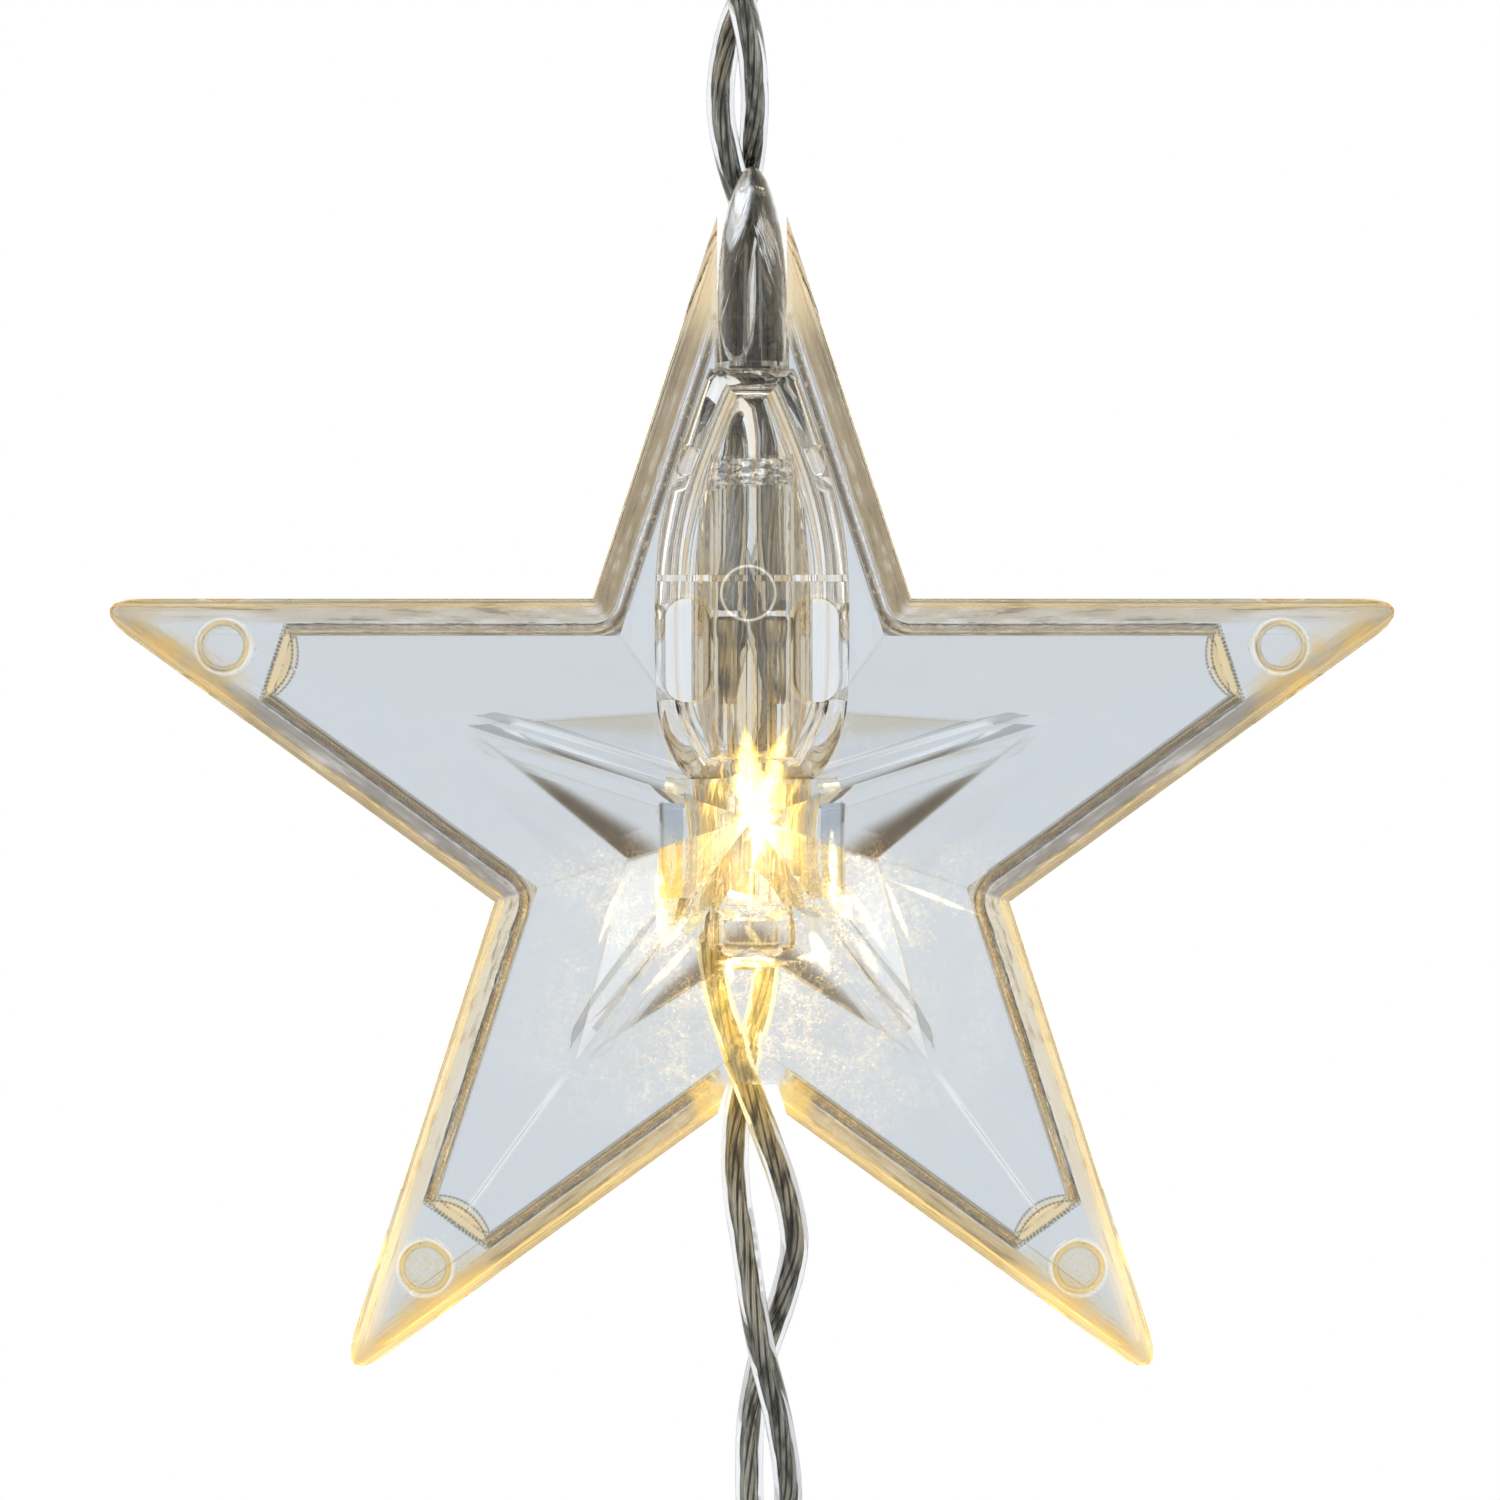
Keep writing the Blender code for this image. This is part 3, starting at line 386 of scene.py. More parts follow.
def wave(value, pitch):
    return (value * (2 * math.pi / pitch)).math("SINE")


def star_tint(made, spot, lines, streak, patch):
    """The colour of the plastic: its plain tint, with painted light and shade laid over it: the bands and lines
    where walls bend the light, the lamp's gold, and glints and shade round the pegs.
    """
    inset, along, out, off, turn = lines
    x, y, z = made.parts(spot)
    side = abs(x)
    wired = side.drop(2.1, 2.4) * z.drop(-3.0, -1.0) + z.step(23.0, 24.0) * side.drop(2.1, 2.3)
    free = 1 - wired
    steep = turn.drop(0.195, 0.205) * free          # the edges of the top arm
    low_arm = turn.step(0.59, 0.61)
    tip = out.step(27.0, 29.5)
    # Painted light and shade: the rim's band where its wall bends the light, and the lamp's gold painted on the
    # lower tips.
    rim = inset.drop(1.25, 1.40) * (1 - tip * inset.step(0.5, 1.5) * 0.85) * free
    low_side = turn.band(0.39, 0.41, 0.59, 0.61) + turn.step(0.79, 0.81)
    tip_gold = tip * low_side * inset.drop(0.8, 2.6) * patch.step(0.35, 0.6) * 0.8
    # Painted shade on the hollow's wall, with its pale moulded teeth and dots of painted gold glint.
    hollow = out.drop(27.2, 27.6) * free
    wall = inset.band(1.40, 1.46, 1.82, 1.92) * hollow
    tooth = wave(along - inset * 0.6, TOOTH) * 0.5 + 0.5
    dots = made.noise(spot, 3.4, 1.0).step(0.60, 0.66) * (low_arm + steep)
    wall_colour = made.paint(streaky(made, made.by_edge(turn, *WALL_COLOURS), streak),
                             (tooth * 0.4, (0.90, 0.89, 0.86)), (dots, (0.97, 0.82, 0.48)))
    # The hollow's curved end is painted in the lamp's gold-tan, with painted dark outlines in dashes.
    curved = out - off * off * 0.19
    within = inset.step(1.3, 1.45)
    lens = curved.step(26.4, 26.5) * out.drop(27.42, 27.5) * within
    lens_colour = made.mix(patch.step(0.4, 0.6), (0.90, 0.80, 0.58), (0.86, 0.78, 0.62))
    dash = wave(off, DASH).step(-0.6, 0.4)
    ends = (line(curved, LENS_END, 0.06) + line(out, HOLLOW_END, 0.06)) * within * (0.4 + 0.6 * dash)
    # Round the pegs: painted gold glints and dark shade in rings, a painted white highlight, and a frosted patch
    # with painted gold glints in it.
    ring = distance(out - PEG_OUT, off)
    pegged = turn.step(0.17, 0.2)
    glint_patch = patch.step(0.42, 0.58)
    frost_glints = made.noise(spot, 5.0, 2.0, 0.7).step(0.47, 0.60) * ring.drop(1.10, 1.25) * low_arm
    # The lamp's gold painted along the outer edge; the layers below also paint dark and pale lines and a dark band
    # along the edges.
    edge = 1 - inset.step(0.36, 0.46) * (1 - steep) - steep * inset.step(0.08, 0.13)
    return made.paint(
        CLEAR_TINT,
        (patch.step(0.3, 0.7) * 0.35, CLOUDY_TINT),
        (rim * 0.95, streaky(made, made.by_edge(turn, *RIM_COLOURS), streak)),
        (tip_gold, TIP_GOLD),
        (wall, wall_colour),
        (line(inset, 1.30, 0.05) * hollow * 0.55, (0.93, 0.95, 0.97)),
        ((line(inset, 1.41, 0.05) + line(inset, 1.89, 0.05)) * hollow, DARK_LINE),
        (lens * 0.85, lens_colour),
        (ends, DARK_LINE),
        (line(ring, 1.26, 0.12) * (0.3 + 0.7 * glint_patch) * pegged, (0.95, 0.80, 0.46)),
        (line(ring, 1.33, 0.07) * (1 - glint_patch) * pegged * 0.8, (0.42, 0.34, 0.22)),
        (line(ring, 1.15, 0.05) * pegged * 0.6, (0.50, 0.45, 0.37)),
        (line(ring, 1.50, 0.07) * pegged * 0.9, WHITE_LINE),
        (line(inset, 1.78, 0.13) * steep * 0.95, (0.09, 0.075, 0.06)),
        (line(inset, 1.47, 0.09) * steep, (0.95, 0.97, 1.0)),
        (line(inset, 1.86, 0.07) * dots * steep, (1.0, 0.84, 0.45)),
        (frost_glints * 0.7, (0.86, 0.73, 0.46)),
        (line(ring, 1.28, 0.10) * low_arm * 0.8, (0.95, 0.78, 0.40)),
        (edge * free, PAINTED_LAMP_GOLD),
        (inset.band(0.12, 0.18, 0.40, 0.48) * steep * 0.8, (0.38, 0.40, 0.42)),
        ((line(inset, 0.20, 0.05) * 0.75 + line(inset, 0.44, 0.04) * 0.4) * free, (0.46, 0.37, 0.24)))


def from_relief_edge(out, off):
    """How far inside the edge of the raised star a place lies, and how far down along it."""
    left = RELIEF_TIP - out
    return left * RELIEF_SINE - off * RELIEF_COSINE, left * RELIEF_COSINE + off * RELIEF_SINE


def relief_tint(made, tint, lines):
    """Painted shade on the raised star: dark wedges where a slope faces down, pale shade on upper slopes, and
    painted lines along its ridges, creases and valleys.
    """
    inset, along, out, off, turn = lines
    inward, down = from_relief_edge(out, off)
    share = inward / ((down - 1.5).math("MAXIMUM", 0.01) * 0.21)
    wedge = inward.step(-0.10, 0.05) * share.drop(0.35, 1.0) * down.step(0.5, 7.0)
    lower = turn.band(0.39, 0.41, 0.60, 0.62) + turn.step(0.79, 0.81) * 0.8
    upper = turn.band(0.2, 0.22, 0.39, 0.41)
    ridge = line(off, 0.0, 0.10) * out.drop(15.0, 16.5)
    crease = line(inward, 0.0, 0.07) * down.step(0.0, 2.0)
    valley = line(out * math.sin(FOLD) - off * math.cos(FOLD), 0.0, 0.10) * inward.drop(0.0, 0.2)
    return made.paint(tint, (wedge * lower * 0.95, WEDGE), (wedge * upper * 0.6, (0.74, 0.72, 0.64)),
                      (ridge * 0.35 + crease * 0.3, (0.56, 0.53, 0.47)), (valley * 0.4, (0.70, 0.70, 0.69)))


# %% Finish of the two star halves
# Leaves of light on the front: foot and tip as (x, z) in mm from the star's centre, and the width.
SPOTS = (((-4.95, -2.4), (-4.75, -7.3), 0.5), ((-4.9, -7.0), (-3.5, -5.2), 0.4), ((4.3, -0.6), (4.5, -4.2), 0.5),
         ((4.1, -3.4), (5.3, -5.6), 1.0), ((3.2, -6.0), (4.3, -8.4), 0.7), ((2.4, -7.6), (4.4, -7.3), 0.5),
         ((-2.2, -7.8), (2.4, -7.8), 0.5), ((-1.3, -7.5), (-1.2, -9.1), 0.45), ((0.4, -7.5), (0.3, -9.3), 0.45),
         ((5.0, -3.6), (7.2, -7.2), 0.35), ((-3.2, -6.6), (-6.0, -9.6), 0.3), ((7.5, -3.4), (12.4, -5.3), 0.25),
         ((-7.1, -3.6), (-8.3, -6.8), 0.3), ((7.2, -3.4), (8.6, -6.9), 0.3), ((5.6, -6.6), (6.9, -8.6), 0.5))
# A painted pale highlight on the hood: foot and tip as (x, z) in mm from the star's centre, and the width.
HOOD_GLINT = ((-1.2, 30.8), (-0.45, 36.2), 1.5)
WINDOW_ACROSS, WINDOW_HEIGHT, WINDOW_STRAIGHT = 3.5, 9.1, 1.45      # its middle, and half its straight side
MOUTH_ACROSS, MOUTH_HEIGHT = 2.2, -15.4         # where the notch's corners are
GATE_LEFT, GATE_HEIGHT, GATE_RADIUS = -0.2, 12.2, 1.47      # the round mark of the mould's gate
BELOW_LAMP = (0.4, -1.9, -77.0)


def clear_star_finish():
    made = Finish("clear_star", Transmission_Weight=1.0, IOR=1.50, Specular_IOR_Level=0.2, Emission_Strength=0.55)
    spot = made.place(ORIGIN_TO_STAR / MM)
    x, y, z = made.parts(spot)
    lines = inset, along, out, off, turn = star_lines(made, spot)
    streak = made.noise(made.node("CombineXYZ", X=inset * 4.0, Y=along * 0.12, Z=turn * 40.0), 1.0, 3.0, 0.6)
    patch = made.noise(spot, 0.5, 3.0)
    grain = made.squeezed_noise(spot, (2.2, 0.4, 0.16), 1.0, 3.0, 0.6)
    side = abs(x)
    front = y.drop(-3.2, -2.6)
    # The hood, with painted dark streaks and a painted pale highlight where it bends the light, and painted lamp
    # light on the wings of the top arm beside it.
    core = side.drop(1.75, 1.95) * z.step(23.5, 24.5)
    hood_colour = made.mix(grain.step(0.42, 0.62), (0.26, 0.22, 0.16), (0.74, 0.78, 0.82))
    hood_glint = petal(x, z, *HOOD_GLINT) * y.drop(-2.0, -1.5)
    wing = z.step(25.0, 29.0) * inset.drop(2.4, 3.2) * (1 - core)
    # The pocket: painted tan for what shows through it, and painted lamp light, warmer near the lamp.
    inside = (side + (z - 14.0).math("MAXIMUM", 0.0) * 0.35).drop(4.2, 5.2) * z.band(1.0, 4.0, 23.5, 24.5)
    beside = side.step(1.9, 2.5)
    tan = (grain - beside * 0.06).step(0.44, 0.54)
    warmer = z.drop(2.0, 10.0) * (1 - beside)
    inside_colour = made.mix(tan, (0.86, 0.89, 0.93), made.mix(warmer, (0.91, 0.80, 0.60), (0.93, 0.72, 0.36)))
    # Painted light and shade at the windows' outlines, gold on one side and dark on the other, a painted grey-blue
    # through them, painted gold on the ledges below them with a dark line beside, and the lamp's gold painted round
    # the notch where the wires leave.
    wide = side - WINDOW_ACROSS
    window = distance(wide, (abs(z - WINDOW_HEIGHT) - WINDOW_STRAIGHT).math("MAXIMUM", 0.0))
    above = y.drop(-5.6, -5.4)
    window_colour = made.mix(wide.step(0.0, 0.6), (0.98, 0.86, 0.55), (0.42, 0.36, 0.27))
    ledge = wide.band(0.05, 0.15, 1.40, 1.50) * z.band(-6.0, -5.0, -2.2, -0.6)
    ledge_side = line(wide, 1.36, 0.08) * z.band(-4.4, -3.8, 0.8, 1.0) * y.drop(-4.6, -4.4)
    mouth = distance(side - MOUTH_ACROSS, z - MOUTH_HEIGHT)
    gate = distance(x - GATE_LEFT, z - GATE_HEIGHT)
    on_top = y.drop(-6.7, -6.6)
    outer_wall = inset.drop(0.01, 0.03) * abs(y).drop(3.3, 3.5)
    # The plastic's colour with painted light and shade: besides the marks above, a painted tan where a wall is seen
    # along, and a painted white highlight on the real ring of the gate.
    made.link(Base_Color=made.paint(
        relief_tint(made, star_tint(made, spot, lines, streak, patch), lines),
        (core * 0.85, hood_colour),
        (hood_glint, (0.93, 0.96, 1.0)),
        (wing * 0.8, (0.95, 0.85, 0.66)),
        (inside * 0.75, inside_colour),
        (window.drop(1.2, 1.4) * y.step(0.0, 0.5) * 0.9, (0.78, 0.82, 0.87)),
        (line(window, 1.36, 0.11) * above, window_colour),
        (line(window, 1.20, 0.07) * above * grain.step(0.30, 0.45), (0.14, 0.12, 0.10)),
        (line(window, 1.53, 0.07) * above, WHITE_LINE),
        (ledge * (0.35 + 0.55 * x.drop(-0.5, 0.5)), (0.95, 0.82, 0.46)),
        (ledge_side, (0.40, 0.34, 0.26)),
        (mouth.drop(0.6, 1.5) * 0.8, LAMP_GOLD),
        (made.facing(0.25, 0.70) * (0.35 + 0.45 * inside), (0.60, 0.50, 0.34)),
        (line(gate, GATE_RADIUS, 0.05) * on_top, (1.0, 1.0, 0.98)),
        (outer_wall * 0.85, (0.95, 0.935, 0.89))))
    # The lamp's light: leaks at the edge and the tips, strokes and specks below the lamp, and leaves.
    low = z.drop(-34.0, 24.0)
    leak = inset.drop(0.30, 0.60) * (0.06 + 0.38 * low) + out.step(27.0, 31.0) * inset.drop(0.4, 1.6) * 0.14 * low
    near = fade(distance_to(made, BELOW_LAMP, (1.0, 1.0, 0.9)), 8.5) * z.drop(-2.5, 0.0)
    swirl = made.noise(spot, 0.9, 4.0, 0.65)
    clump = made.noise(spot, 0.35, 2.0).step(0.46, 0.60)
    strokes = (1 - abs(swirl - 0.5) * 22).math("MAXIMUM", 0.0) * clump
    specks = made.noise(spot, 4.5, 2.0, 0.7).step(0.60, 0.68) * (0.3 + 0.7 * clump)
    inward = from_relief_edge(out, off)[0]
    rays = (line(off, 0.0, 0.07) + line(inward, 0.05, 0.07) * turn.step(0.5, 0.6)) * turn.step(0.57, 0.63) \
        * out.drop(11.0, 16.0) * swirl.step(0.44, 0.52)
    leaves = leaves_of_light(x, z, SPOTS) * front * (0.5 + 1.8 * made.noise(spot, 1.3, 3.0, 0.7).step(0.44, 0.60))
    glow = near * (0.07 + 0.7 * strokes + 1.3 * specks + 0.7 * rays * front) + leak + leaves
    glow = glow * (1 - outer_wall * 0.45)
    # Pale reflections: on the hood, along the lower arms, beside the upper ridges and round the gate.
    arm_line = line(off, 0.05, 0.09) * out.band(16.5, 18.5, 26.2, 26.8) * turn.step(0.5, 0.6) * front
    outer_ridge = abs(off - 1.43 + out * 0.031).drop(0.11, 0.21)
    inner_ridge = abs(off - 0.16 - out * 0.014).drop(0.06, 0.16)
    over_arm = turn.band(0.2, 0.22, 0.395, 0.405) * out.band(3.5, 4.5, 13.5, 14.5)
    made.link(Emission_Color=made.paint(
        made.scaled(made.mix(glow * 0.6, WARM, WARM_CORE), glow),
        (hood_glint, (0.50, 0.56, 0.63)),
        (arm_line * 0.45, (0.30, 0.29, 0.26)),
        ((outer_ridge + inner_ridge) * over_arm * front, (0.23, 0.25, 0.27)),
        (line(gate, GATE_RADIUS, 0.07) * on_top, (0.85, 0.80, 0.66))))
    made.link(Roughness=0.01 + 0.03 * patch)
    made.bump(0.6 * streak * inset.drop(1.9, 2.0) + 0.25 * made.noise(spot, 0.12, 1.0), 0.04 * MM)
    return made.material


clear_star = clear_star_finish()
print("made", clear_star.name)

# %% [markdown]
# ## Other clear pieces
# The lamp holder and the lamp's lens are clear and have no tint of their own, but have tan bands painted
# where a wall is seen along, for the light it bends, and leaves of light on their front. The compound that
# seals the holder's mouth is clear too and set in wrinkles; light and shade on its wrinkles are painted, with pale
# painted highlights, and no light of the lamp is in it.

# %% Finishes of the clear pieces round the lamp
# Painted tan for the light a clear wall bends where it is seen along.
TAN_EDGE = (0.56, 0.42, 0.22)
# Leaves of light: foot and tip as (x, z) in mm from the star's centre, the width, and the softness.
FLAMES = (((0.05, -0.9), (-0.35, 4.9), 1.5, 0.5), ((0.25, -0.9), (1.85, 4.9), 1.25, 0.5),
          ((0.2, -0.8), (0.65, 2.4), 0.5), ((-0.9, 0.3), (1.9, -0.8), 0.7), ((-0.1, 0.4), (0.9, -1.8), 1.0),
          ((-0.7, -1.0), (1.4, 0.6), 0.5), ((-2.3, 0.3), (-1.6, 3.4), 0.25), ((1.9, 0.4), (2.6, 2.2), 0.2))
BEAMS = (((0.05, 0.6), (-0.15, -6.8), 0.28), ((-0.1, 0.8), (0.3, -2.4), 1.0, 0.4), ((0.9, -0.4), (0.0, -2.6), 0.5),
         ((-0.4, -5.6), (0.5, -7.0), 0.5), ((-2.4, -6.75), (2.4, -6.85), 0.25), ((1.2, 0.2), (2.5, -1.6), 0.35),
         ((-2.4, -2.2), (-1.2, -0.3), 0.2), ((-0.9, 0.3), (1.9, -0.8), 0.6))


def clear_piece(name, roughness, wrinkle=0.02, outline=TAN_EDGE, seen=(0.15, 0.5), glow=1.1):
    """A clear piece with warm tan bands painted where its walls are seen along, for the light they bend."""
    made = Finish(name, Transmission_Weight=1.0, IOR=1.45, Specular_IOR_Level=0.12, Emission_Strength=glow)
    spot = made.place()
    made.link(Base_Color=made.mix(made.facing(*seen), (0.95, 0.955, 0.96), outline),
              Roughness=roughness + 0.03 * made.noise(spot, 0.8))
    made.bump(made.noise(spot, 0.9, 2.0), wrinkle * MM)
    return made


def lamp_light(made, leaves, size, strength):
    """The lamp's light in a clear piece: leaves of light on its front, and a soft glow round them."""
    x, y, z = made.parts(made.place(ORIGIN_TO_STAR / MM))
    light = leaves_of_light(x, z, leaves) * y.drop(-2.2, -1.8)
    leaf = made.mix(light.step(0.45, 1.5), (0.95, 0.66, 0.15), (1.0, 0.90, 0.48))
    made.link(Emission_Color=made.mix(light, glare(made, size, strength), leaf))
    return made.material


def potting_finish():
    made = clear_piece("potting", 0.12, 0.5, glow=1.0)
    # Painted shade and highlights on its wrinkles: darker and paler colour, and a faint painted glow on the paler
    # crests.
    wrinkle_shading = made.squeezed_noise(made.place(), (0.9, 0.9, 2.4), 1.6, 4.0, 0.7)
    made.link(Base_Color=made.mix(wrinkle_shading.step(0.46, 0.54), (0.34, 0.33, 0.30), (0.97, 0.97, 0.95)),
              Emission_Color=made.mix(wrinkle_shading.step(0.50, 0.56), (0.0, 0.0, 0.0), (0.30, 0.30, 0.29)))
    return made.material


clear_holder = lamp_light(clear_piece("clear_holder", 0.01), FLAMES, 2.2, 0.35)
lamp_lens = lamp_light(clear_piece("lamp_lens", 0.02, outline=(0.80, 0.58, 0.24), seen=(0.25, 0.6)), BEAMS, 2.0, 0.4)
potting = potting_finish()
print("made", clear_holder.name, lamp_lens.name, potting.name)

# %% [markdown]
# ## The lit chip
# The chip is a few tenths of a millimetre wide and far too bright to look at. It glows a warm white.


# %% Finish of the chip
def chip_finish():
    made = Finish("lamp_chip", Base_Color=(1.0, 0.8, 0.35, 1.0), Roughness=0.4, Emission_Strength=40.0)
    made.link(Emission_Color=made.mix(made.noise(made.place(), 3.0), (1.0, 0.78, 0.35), (1.0, 0.93, 0.7)))
    return made.material


lamp_chip = chip_finish()
print("made", lamp_chip.name)

# %% [markdown]
# ## Metal inside the clear pieces
# Tinned leads, crimp sleeves and the strands of the wires are metal. The strands are painted dark and a
# little olive, for the shade they mirror in each other, and the lamp's gold is painted on the metal near the leads.
# Brass makes the pins and contacts.

# %% Metal finishes
LEADS_MIDDLE = (0.0, -1.5, -76.0)


def metal_finish(name, light, dark, roughness, streak):
    """streak stretches the grain along the piece, in mm per grain."""
    made = Finish(name, Metallic=1.0)
    grain = made.squeezed_noise(made.place(), (1.0, 1.0, 1.0 / streak), 2.5, 3.0)
    # Painted lamp light: gold on the metal near the lamp's leads.
    warm = fade(distance_to(made, LEADS_MIDDLE, (1.0, 1.0, 0.55)), 6.0) * grain.step(0.34, 0.56)
    made.link(Base_Color=made.paint(dark, (grain.step(0.35, 0.65), light), (warm * 0.9, (0.98, 0.72, 0.24))),
              Roughness=roughness + 0.15 * grain)
    made.bump(grain, 0.01 * MM)
    return made.material


tinned_lead = metal_finish("tinned_lead", (0.66, 0.56, 0.34), (0.13, 0.11, 0.07), 0.20, 6.0)
crimp = metal_finish("crimp", (0.34, 0.28, 0.16), (0.045, 0.04, 0.025), 0.25, 9.0)
# The strands' dark colour is painted shade, for what they mirror in each other.
strand_metal = metal_finish("wire_strands", (0.30, 0.29, 0.24), (0.035, 0.035, 0.028), 0.22, 7.0)
contact_brass = metal_finish("contact_brass", (0.83, 0.66, 0.34), (0.66, 0.50, 0.24), 0.20, 3.0)
print("made", tinned_lead.name, crimp.name, strand_metal.name, contact_brass.name)

# %% [markdown]
# ## Clear wire
# The insulation is soft clear plastic, 1.55 mm across, and it magnifies the strands inside it. Behind
# the holder it is painted tan, for how it looks through the holder, its outline is painted darker, and beside the
# lamp a glow is painted on.


# %% Finish of the insulation
def clear_wire_finish():
    made = Finish("clear_wire", Transmission_Weight=1.0, IOR=1.50, Specular_IOR_Level=0.35, Emission_Strength=0.6)
    spot = made.place()
    # Painted tan behind the holder, and a painted dark outline where the wire is seen along.
    behind = made.parts(spot)[2].band(-67.0, -64.0, -52.0, -50.0)
    made.link(Base_Color=made.paint((0.88, 0.905, 0.93), (behind * 0.8, (0.74, 0.66, 0.48)),
                                    (made.facing(0.55, 0.95), (0.34, 0.35, 0.34))),
              Roughness=0.03 + 0.04 * made.noise(spot, 0.7),
              Emission_Color=made.scaled((1.0, 0.66, 0.10), fade(distance_to(made, (0, 0, -81.0)), 4.3)))
    made.bump(made.noise(spot, 0.5, 2.0), 0.04 * MM)
    return made.material


clear_wire = clear_wire_finish()
print("made", clear_wire.name)

# %% [markdown]
# ## Moulded plastic and rubber of the couplers
# The plug, its nut, the socket and the cap are milky moulded plastic with a fine spark texture and
# a little sheen. The reliefs are softer, and the seal is a rubber ring.


# %% Finishes of the couplers
def moulded_finish(name, colour, shade, roughness, grain_depth, subsurface=0.3):
    made = Finish(name, IOR=1.47, Subsurface_Weight=subsurface, Subsurface_Radius=(1.0, 1.0, 1.0),
                  Subsurface_Scale=0.6 * MM)
    spot = made.place()
    cloud = made.noise(spot, 0.25, 3.0)
    fine = made.noise(spot, 9.0, 2.0)
    made.link(Base_Color=made.mix(cloud.step(0.3, 0.7), colour, shade), Roughness=roughness + 0.12 * fine)
    made.bump(fine, grain_depth * MM)
    return made.material


coupler_body = moulded_finish("coupler_body", (0.80, 0.81, 0.80), (0.74, 0.76, 0.75), 0.26, 0.012)
coupler_nut = moulded_finish("coupler_nut", (0.82, 0.83, 0.82), (0.76, 0.77, 0.77), 0.30, 0.015)
cap_plastic = moulded_finish("cap", (0.79, 0.80, 0.79), (0.73, 0.74, 0.74), 0.34, 0.015)
soft_relief = moulded_finish("soft_relief", (0.76, 0.77, 0.76), (0.70, 0.71, 0.70), 0.42, 0.02)
seal_ring = moulded_finish("seal_ring", (0.42, 0.42, 0.41), (0.36, 0.36, 0.35), 0.5, 0.01, subsurface=0.0)
print("made", coupler_body.name, coupler_nut.name, cap_plastic.name, soft_relief.name, seal_ring.name)

# %% [markdown]
# ## Routes of the wires
# Two clear wires come down from the plug, twisted together. One ends at the lamp. The other passes
# behind it, and a third comes back up from the lamp and goes down with it to the socket. Their
# points were chosen from the photograph, and one smooth curve goes through them.

# %% Routes, in millimetres from the star's centre
FEED_ROUTE = (
    (-0.95, -0.30, 48.4), (-0.95, -0.34, 47.5), (-0.86, -0.66, 46.2), (-0.60, -0.93, 44.8), (-0.05, -0.70, 42.2),
    (0.16, 0.20, 39.1), (-0.05, 1.55, 36.3), (-0.50, 2.80, 33.7), (-0.90, 2.90, 31.0), (-0.95, 2.30, 28.6),
    (-0.65, 1.30, 26.4), (0.00, 0.05, 24.5), (0.62, -1.05, 22.9), (0.93, -1.72, 21.0), (0.95, -1.90, 19.0),
    (1.00, -1.90, 15.5), (1.20, -1.90, 13.0), (1.27, -1.90, 11.3))
THROUGH_ROUTE = (
    (0.75, 0.45, 48.4), (0.74, 0.50, 47.5), (0.28, 0.84, 46.2), (-0.60, 0.93, 44.8), (-1.45, 0.65, 42.2),
    (-1.74, 0.20, 39.1), (-1.30, 0.40, 36.3), (-0.50, 0.95, 33.7), (0.45, 1.25, 31.0), (0.95, 1.80, 28.6),
    (1.05, 2.70, 25.6), (1.10, 3.15, 22.0), (1.25, 3.30, 18.5), (0.90, 3.85, 15.0), (0.00, 4.35, 11.9),
    (-1.00, 4.00, 9.2), (-1.62, 3.10, 6.4), (-1.20, 2.55, 3.6), (-0.10, 2.45, 1.0), (0.75, 2.35, -2.0),
    (0.98, 1.90, -5.5), (0.62, 1.45, -9.5), (-0.05, 1.10, -12.4), (-0.50, 0.95, -14.4), (-0.92, 0.75, -17.6),
    (-0.85, 0.25, -20.5), (-0.38, -0.15, -23.5), (0.05, -0.65, -26.6), (0.62, -0.88, -29.6), (1.45, -0.60, -33.0),
    (1.98, 0.00, -36.6), (1.84, 0.15, -38.9), (1.80, 0.15, -39.9), (1.80, 0.15, -40.7))
RETURN_ROUTE = (
    (-1.27, -1.90, 11.3), (-1.20, -1.90, 13.0), (-1.00, -1.90, 15.5), (-0.95, -1.90, 18.4), (-0.98, -1.86, 20.1),
    (-1.12, -1.31, 21.25), (-1.42, 0.10, 21.85), (-1.63, 1.51, 21.25), (-1.74, 2.06, 20.1), (-1.70, 2.45, 18.3),
    (-1.10, 2.55, 15.0), (0.00, 2.48, 11.9), (0.75, 2.60, 9.2), (1.03, 3.20, 6.4), (0.65, 3.95, 3.6),
    (-0.20, 4.30, 1.0), (-1.50, 3.75, -2.0), (-2.45, 2.50, -5.5), (-1.95, 1.10, -9.5), (-1.05, -0.20, -12.4),
    (-0.35, -0.80, -14.4), (0.85, -0.80, -17.6), (1.85, -0.40, -20.5), (2.34, 0.00, -23.5), (1.65, 0.60, -26.6),
    (0.60, 0.88, -29.6), (-0.05, 0.55, -33.0), (-0.15, 0.00, -36.6), (-0.02, -0.15, -38.9), (0.02, -0.15, -39.9),
    (0.02, -0.15, -40.7))
ROUTE_STEP = 0.5 * MM
THROUGH_PART = ORIGIN_TO_STAR.z + 8 * MM     # behind the holder, where the through wire's two stretches meet


def smooth_route(points):
    """Points about a step apart on one smooth curve through the route's own points."""
    path = [Vector(p) * MM + ORIGIN_TO_STAR for p in points]
    ends = [path[0] * 2 - path[1]] + path + [path[-1] * 2 - path[-2]]
    fine = []
    for a, b, c, d in zip(ends, ends[1:], ends[2:], ends[3:]):
        parts = max(2, round((c - b).length / ROUTE_STEP))
        for part in range(parts):
            t = part / parts
            fine.append(0.5 * (2 * b + (c - a) * t + (2 * a - 5 * b + 4 * c - d) * t ** 2
                               + (3 * b - a - 3 * c + d) * t ** 3))
    return fine + [path[-1]]


def length_of(points):
    return sum((q - p).length for p, q in zip(points, points[1:]))


